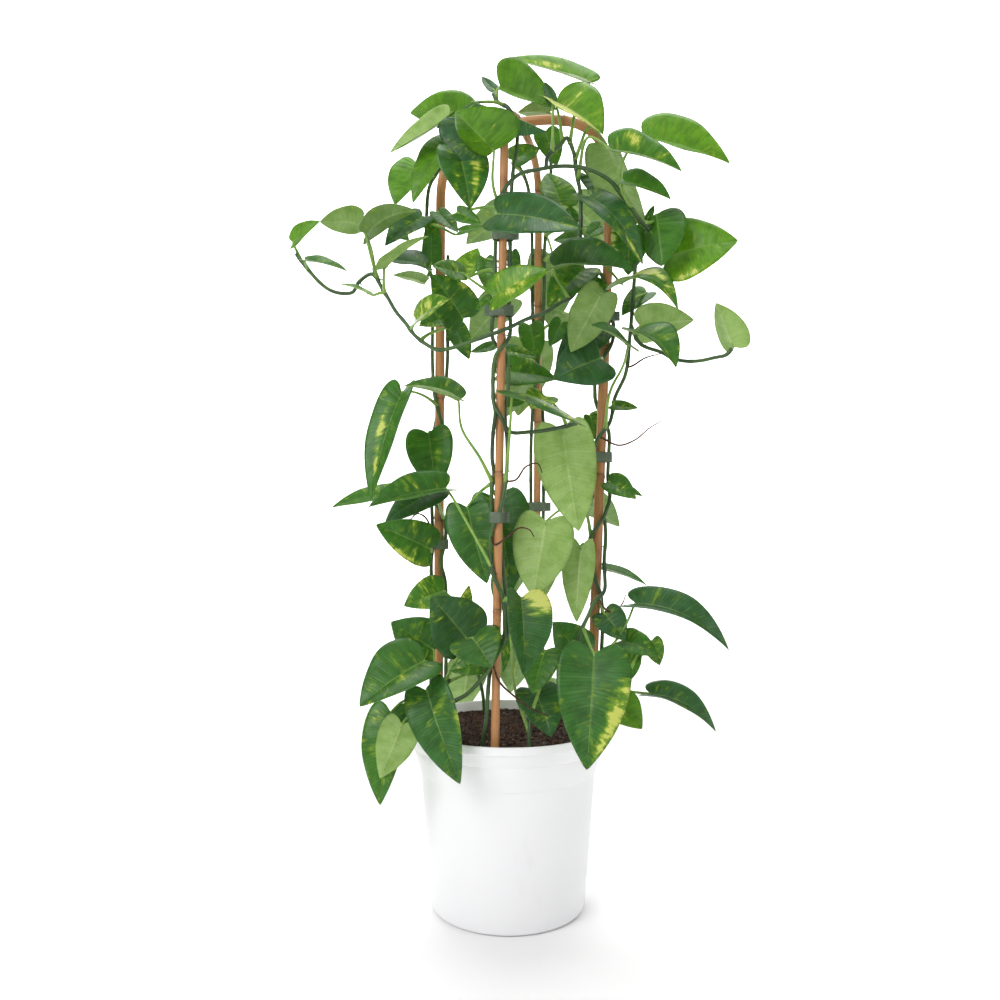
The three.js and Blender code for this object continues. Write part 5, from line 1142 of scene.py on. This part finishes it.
def makeSoil():
    surface = Surface()
    angles = 2 * np.pi * np.arange(soil["sides"]) / soil["sides"]
    radii = soil["edge"] * np.linspace(0, 1, soil["rings"] + 1)[1:][::-1]
    x = radii[:, None] * np.cos(angles)
    y = radii[:, None] * np.sin(angles)
    top = np.stack([x, y, soilHeight(x, y)], -1)
    below = np.array([[85.6, 3.5], [94.5, 90], [100.9, 162.6], [106, 178], [112.2, 196], [114.9, 202.0]])
    wall = np.stack([below[:, :1] * np.cos(angles), below[:, :1] * np.sin(angles),
                     np.repeat(below[:, 1:], soil["sides"], 1)], -1)
    rings = np.concatenate([wall, top])
    middle = [[0, 0, 3.5], [0, 0, float(soilHeight(np.zeros(1), np.zeros(1))[0])]]
    points = np.concatenate([rings.reshape(-1, 3), middle])
    map1 = gridMap(np.arange(soil["sides"] + 1) / soil["sides"], np.arange(len(rings)) / 100)
    surface.add(points, gridFaces(len(rings), soil["sides"], wrap=True), map1, map1, 0)
    addCaps(surface, len(rings), soil["sides"], 0)

    draw = np.random.default_rng(5)
    golden = (1 + 5**0.5) / 2
    ico = unit(np.array([[-1, golden, 0], [1, golden, 0], [-1, -golden, 0], [1, -golden, 0], [0, -1, golden],
                         [0, 1, golden], [0, -1, -golden], [0, 1, -golden], [golden, 0, -1], [golden, 0, 1],
                         [-golden, 0, -1], [-golden, 0, 1]], float))
    icoFaces = np.array([[0, 11, 5], [0, 5, 1], [0, 1, 7], [0, 7, 10], [0, 10, 11], [1, 5, 9], [5, 11, 4],
                         [11, 10, 2], [10, 7, 6], [7, 1, 8], [3, 9, 4], [3, 4, 2], [3, 2, 6], [3, 6, 8],
                         [3, 8, 9], [4, 9, 5], [2, 4, 11], [6, 2, 10], [8, 6, 7], [9, 8, 1]])

    # Small lumps strewn evenly over the soil: twenty-sided grains with random corners.
    def scatter(count, low, high, slot, squashed):
        radius = (soil["edge"] - 3.5) * np.sqrt(draw.uniform(0, 1, count))
        angle = draw.uniform(0, 2 * np.pi, count)
        x, y = radius * np.cos(angle), radius * np.sin(angle)
        size = draw.uniform(low, high, (count, 1, 1))
        shape = ico[None] * draw.uniform(0.65, 1.2, (count, 12, 1)) * size * np.array([1, 1, squashed])
        centres = np.stack([x, y, soilHeight(x, y) + size[:, 0, 0] * 0.25], -1)
        grains = (shape + centres[:, None]).reshape(-1, 3)
        faces = (icoFaces[None] + 12 * np.arange(count)[:, None, None]).reshape(-1, 3)
        zero = np.zeros((len(faces), 3, 2))
        surface.add(grains, faces, zero, zero, slot, flat=True)

    scatter(soil["crumbs"], 0.8, 2.3, 0, 0.8)
    scatter(soil["perlite"], 0.5, 1.1, 2, 0.9)
    for _ in range(soil["fibres"]):  # bent fibres lying on the crumb
        radius = (soil["edge"] - 12) * draw.uniform(0, 1) ** 0.5
        angle, turn, length = draw.uniform(0, 2 * np.pi), draw.uniform(0, 2 * np.pi), draw.uniform(5, 15)
        t = np.linspace(-0.5, 0.5, 6)
        bend = draw.uniform(-0.25, 0.25) * length
        x = radius * np.cos(angle) + length * t * np.cos(turn) - bend * t**2 * np.sin(turn) * 4
        y = radius * np.sin(angle) + length * t * np.sin(turn) + bend * t**2 * np.cos(turn) * 4
        line = np.stack([x, y, soilHeight(x, y) + 0.5], -1)
        line[:, 2] = np.maximum(line[:, 2], line[:, 2].mean())
        addTube(surface, line, draw.uniform(0.25, 0.7) * np.array([0.5, 1, 1, 1, 0.9, 0.4]), 5, 1)
    surface.toObject("soil_bed", [soilMaterial(), barkMaterial(), perliteMaterial()], "soil", "soil")


makeSoil()


# Up one leg, over a rounded-square arch (a superellipse), and down the other leg.
def hoopLine(hoop, archSteps):
    (footA, topA), (footB, topB) = np.array(hoop["legs"], float)
    angle = np.pi * np.arange(archSteps + 1) / archSteps
    power = 2 / hoopShape["archPower"]
    across = np.sign(np.cos(angle)) * np.abs(np.cos(angle)) ** power
    share = (1 - across)[:, None] / 2
    rise = hoop["archHeight"] * np.abs(np.sin(angle)) ** power
    arch = np.concatenate([topA + (topB - topA) * share, (hoop["archBase"] + rise)[:, None]], 1)
    inset, deep, foot = hoopShape["buriedInset"], hoopShape["buriedHeight"], hoopShape["legFoot"]
    return np.array([[*(footA * inset), deep], [*footA, foot], *arch,
                     [*footB, foot], [*(footB * inset), deep]])


# The same line with its points evenly apart.
def spread(line, step):
    travelled = lengthsAlong(line)
    wanted = np.linspace(0, travelled[-1], int(travelled[-1] / step) + 1)
    return np.stack([np.interp(wanted, travelled, line[:, k]) for k in range(3)], 1)


# Tonkin bamboo cane, peeled and dried: fine long fibres, brown rings at the joints, a few weathered
# patches and a waxy half gloss.
def bambooMaterial(name, light, dark, stain):
    material, add = newMaterial(name)
    around = add("map", uv_map="veins")
    place = add("place")
    fibres = add("noise", add("stretch", around, (40.0, 1.4, 1.0)), 1.5, 3.0, 0.6)
    patches = add("noise", place, 16.0, 4.0, 0.62)
    specks = add("band", add("noise", place, 700.0, 1.0), 0.66, 0.72)
    knot = add("mark", attribute_name="cream")
    colour = add("mix", add("band", fibres, 0.3, 0.72), dark, light)
    colour = add("mix", add("MULTIPLY", add("band", patches, 0.5, 0.75), 0.65), colour, stain)
    colour = add("mix", add("MULTIPLY", specks, 0.5), colour, stain)
    colour = add("mix", add("MULTIPLY", knot, 0.75), colour, stain)
    return finish(material, colour, add("MULTIPLY_ADD", patches, 0.25, 0.34), (fibres, 0.25, 0.0004))


bambooPaint = {"hoop_side": ("#c48d5e", "#a9713f", "#5e3d27"),
               "hoop_front": ("#c89160", "#b07a49", "#6f4a2e")}


def makeHoop(name, hoop):
    coarse = hoopLine(hoop, hoopShape["archSteps"])
    travelled = lengthsAlong(coarse)
    places = np.arange(2 * hoopShape["knotSpacing"], travelled[-2], hoopShape["knotSpacing"])
    knots = np.stack([np.interp(places, travelled, coarse[:, k]) for k in range(3)], 1)
    line = spread(hoopLine(hoop, hoopShape["fineArchSteps"]), hoopShape["fineStep"])
    stations = lengthsAlong(line)
    centres = stations[np.argmin(np.linalg.norm(line[:, None] - knots[None], axis=2), axis=0)]
    offset = stations[:, None] - centres[None]
    ridge = np.exp(-(offset / 0.9) ** 2).sum(1)
    swelling = np.exp(-(offset / 5.0) ** 2).sum(1)
    groove = np.exp(-((offset - 2.6) / 0.8) ** 2).sum(1)
    radii = (hoop["radius"] * (1 - 0.012 * np.sin(stations / 31))
             + 0.5 * ridge + 0.35 * swelling - 0.45 * groove)
    keep = (np.abs(offset).min(1) < 9) | (np.arange(len(line)) % 5 == 0)
    keep[[0, -1]] = True
    stain = np.clip(0.5 * np.exp(-(offset / 4.5) ** 2).sum(1) + groove, 0, 1)[keep]
    surface = Surface()
    marks = {"cream": np.concatenate([np.repeat(stain, hoopShape["sides"]), [0, 0]])}
    addTube(surface, line[keep], radii[keep], hoopShape["sides"], 0, marks)
    material = bambooMaterial("peeled bamboo " + name, *bambooPaint[name])
    surface.toObject(name + "_cane", [material], "bamboo", name)


for name, hoop in hoops.items():
    makeHoop(name, hoop)
print("hoops bent")


strapShape = {"height": 12, "thickness": 1.2, "clearance": 0.35, "corners": 8, "reach": 16, "tab": 7,
              "round": 96}


# Where lines cross a level near a place.
def crossings(lines, z, centre, reach):
    found = []
    for line in lines:
        a, b = line[:-1], line[1:]
        hit = ((a[:, 2] - z) * (b[:, 2] - z) <= 0) & (a[:, 2] != b[:, 2])
        a, b = a[hit], b[hit]
        points = a + (b - a) * ((z - a[:, 2]) / (b[:, 2] - a[:, 2]))[:, None]
        found += [p for p in points if np.hypot(*(p[:2] - centre[:2])) < reach]
    return found


# The smallest convex outline round points, one way round.
def hull(points):
    ordered = sorted(map(tuple, points))

    def chain(rows):
        kept = []
        for x, y in rows:
            while len(kept) > 1:
                (ax, ay), (bx, by) = kept[-2:]
                if (bx - ax) * (y - ay) - (by - ay) * (x - ax) > 0:
                    break
                kept.pop()
            kept.append((x, y))
        return kept[:-1]

    return np.array(chain(ordered) + chain(ordered[::-1]))


# Woven polypropylene webbing, grey-green: a plain weave with threads 1.1 mm apart, matt with pale
# crossings where the threads pass over.
def strapMaterial():
    material, add = newMaterial("woven grey-green webbing")
    around = add("map", uv_map="blade")
    pitch = 2 * np.pi / 0.022  # two threads, in hundreds of millimetres
    warp = add("SINE", add("MULTIPLY", add("x", around), pitch))
    weft = add("SINE", add("MULTIPLY", add("y", around), pitch))
    weave = add("MULTIPLY_ADD", add("MULTIPLY", warp, weft), 0.5, 0.5)
    place = add("place")
    worn = add("noise", place, 120.0, 3.0, 0.6)
    colour = add("mix", weave, "#465443", "#6d7d66")
    colour = add("mix", add("MULTIPLY", add("band", worn, 0.5, 0.75), 0.4), colour, "#8b9684")
    return finish(material, colour, add("MULTIPLY_ADD", worn, 0.15, 0.72), (weave, 0.6, 0.0004))


webbing = strapMaterial()


# A closed outline with rounded corners: [out, up] from the middle of the inner face.
def slabProfile(height, thickness):
    h, t, r = height / 2, thickness, min(0.35, thickness / 3)
    return np.array([[0, -h + r], [0, 0], [0, h - r], [r, h], [t - r, h], [t, h - r], [t, h / 2],
                     [t + 0.12, 0], [t, -h / 2], [t, -h + r], [t - r, -h], [r, -h]])


def makeStrap(name, strap, stemLines):
    cane, z, side = strap
    ring = []
    turns = 2 * np.pi * (np.arange(strapShape["corners"]) + 0.5) / strapShape["corners"]
    for level in (-1, 1):
        height = z + level * strapShape["height"] / 2
        centre = caneAt(cane, height)
        places = [(centre, hoops[canes[cane][0]]["radius"] + hoopShape["knotLip"])]
        places += [(p, stemShape["radius"] + strapShape["clearance"])
                   for p in crossings(stemLines, height, centre, strapShape["reach"])]
        for place, radius in places:
            reach = radius / np.cos(np.pi / strapShape["corners"])
            ring += [(place[0] + reach * np.cos(a), place[1] + reach * np.sin(a)) for a in turns]
    loop = hull(ring)
    closed = np.concatenate([loop, loop[:1]])
    travelled = lengthsAlong(closed)
    wanted = np.arange(strapShape["round"]) / strapShape["round"] * travelled[-1]
    path = np.stack([np.interp(wanted, travelled, closed[:, k]) for k in (0, 1)], 1)
    for _ in range(6):
        path = (np.roll(path, 1, 0) + 2 * path + np.roll(path, -1, 0)) / 4
    tangent = unit(np.roll(path, -1, 0) - np.roll(path, 1, 0))
    normal = np.stack([tangent[:, 1], -tangent[:, 0]], 1)
    profile = slabProfile(strapShape["height"], strapShape["thickness"])
    path = path + normal * 0.15
    points = np.concatenate([
        path[:, None] + profile[None, :, :1] * normal[:, None],
        np.broadcast_to(z + profile[None, :, 1:], (len(path), len(profile), 1))], 2)
    surface = Surface()
    rows, columns = len(path), len(profile)
    turned = [0, 3, 2, 1]  # corners the other way round
    faces = gridFaces(rows + 1, columns, wrap=True)[:, turned] % (rows * columns)
    along = np.arange(rows + 1) / rows * travelled[-1] / 100
    upward = np.concatenate([profile[:, 1], profile[:1, 1]]) / 100
    blade = gridMap(upward, along)[:, turned, ::-1]
    surface.add(points.reshape(-1, 3), faces, blade, blade, 0)
    # the sewn end: a doubled piece of the same webbing that stands out at one side
    edge = path[np.argmax(path[:, 0] * side)] + [side * 0.6, 0]
    reach = np.linspace(-0.5, strapShape["tab"] - 1, 9)
    tabLine = np.stack([edge[0] + side * reach, edge[1] - 0.012 * reach**2, np.full(9, float(z))], 1)
    tab = slabProfile(strapShape["height"] - 1, 1.9) - [0.95, 0]
    tabPoints = np.stack([np.repeat(tabLine[:, :1], columns, 1), tabLine[:, 1:2] + tab[None, :, 0],
                          np.broadcast_to(z + tab[None, :, 1], (9, columns))], -1)
    tabPoints = np.concatenate([tabPoints.reshape(-1, 3), tabLine[:1], tabLine[-1:]])
    tabFaces = gridFaces(9, columns, wrap=True)[:, turned]
    ends = capFaces(9, columns)[:, [1, 0, 2]]
    if side > 0:
        tabFaces, ends = tabFaces[:, ::-1], ends[:, ::-1]
    tabMap = np.stack([tabPoints[tabFaces][..., 0], tabPoints[tabFaces][..., 2]], -1) / 100
    surface.add(tabPoints, tabFaces, tabMap, tabMap, 0)
    endMap = np.stack([tabPoints[ends][..., 0], tabPoints[ends][..., 2]], -1) / 100
    surface.addFaces(ends, endMap, endMap, 0)
    surface.toObject(name + "_band", [webbing], "band", name)


stemLines = []
for vine in vines.values():
    grown = []
    for i, route in enumerate(vine["stems"]):
        points = routePoints(route)
        line = smoothLine(points, stemShape["step"])
        if i > 0:
            line[0] = nearest(np.concatenate([budPoints(stem) for stem in grown]), line[0])
        grown.append(line)
    stemLines += grown
for name, strap in straps.items():
    makeStrap(name, strap, stemLines)

# each softbox: [place, where it points, watts, width, height]
studio = {
    "floor": "#f6f6f6", "world": 0.45,
    "softboxes": {
        "key": [(-1.5, -1.7, 1.9), (0, 0, 0.6), 36.0, 1.4, 1.4],
        "fill": [(1.8, -1.4, 0.9), (0, 0, 0.5), 7.0, 1.2, 1.6],
        "top": [(0.2, 0.3, 2.4), (0, 0, 0.5), 24.0, 1.6, 1.2],
        "back": [(-0.9, 1.7, 1.3), (0, 0, 0.6), 8.0, 1.2, 1.2],
        "backdrop": [(0.0, 2.4, 2.8), (0, 4.4, 1.6), 300.0, 6.0, 1.4],
    },
}
view = {"sensor": 36, "focalPixels": 929.3, "widthPixels": 1000, "place": (-0.0095, -1.1, 0.4757)}


# A pale sweep: flat floor that rises behind the plant in a quarter round.
def makeStage():
    t = np.linspace(0, np.pi / 2, 24)
    bend = np.stack([3.0 + 1.5 * np.sin(t), 1.5 - 1.5 * np.cos(t)], 1)
    profile = np.concatenate([[[-4.0, 0.0]], bend, [[4.5, 5.0]]])
    points = np.array([[x, y, z - 0.0005] for y, z in profile for x in (-6.0, 6.0)])
    faces = gridFaces(len(profile), 2)
    mesh = bpy.data.meshes.new("studio_sweep")
    mesh.from_pydata(points.tolist(), [], faces.tolist())
    mesh.polygons.foreach_set("use_smooth", np.ones(len(faces), bool))
    material, add = newMaterial("matt studio paper")
    place = add("place")
    colour = add("mix", add("noise", place, 3.0), studio["floor"], "#f8f8f8")
    mesh.materials.append(finish(material, colour, 0.9))
    sweep = bpy.data.objects.new("studio_sweep", mesh)
    bpy.context.scene.collection.objects.link(sweep)


def addLamp(name, place, target, power, width, height):
    light = bpy.data.lights.new(name, "AREA")
    light.shape, light.energy, light.size, light.size_y = "RECTANGLE", power, width, height
    lamp = bpy.data.objects.new(name, light)
    bpy.context.scene.collection.objects.link(lamp)
    lamp.location = place
    direction = np.array(target) - np.array(place)
    lamp.rotation_euler = Vector(direction).to_track_quat("-Z", "Y").to_euler()


makeStage()
for name, row in studio["softboxes"].items():
    addLamp(name + " softbox", *row)
world = bpy.data.worlds.new("studio air")
world.use_nodes = True
background = world.node_tree.nodes["Background"]
background.inputs[0].default_value = (1, 1, 1, 1)
background.inputs[1].default_value = studio["world"]
bpy.context.scene.world = world
bpy.context.scene.view_settings.view_transform = "Standard"

cameraData = bpy.data.cameras.new("camera")
cameraData.sensor_width = view["sensor"]
cameraData.lens = view["sensor"] * view["focalPixels"] / view["widthPixels"]
camera = bpy.data.objects.new("camera", cameraData)
bpy.context.scene.collection.objects.link(camera)
camera.location = view["place"]
camera.rotation_euler = (np.pi / 2, 0, 0)
bpy.context.scene.camera = camera
print("floor, lights and camera set")
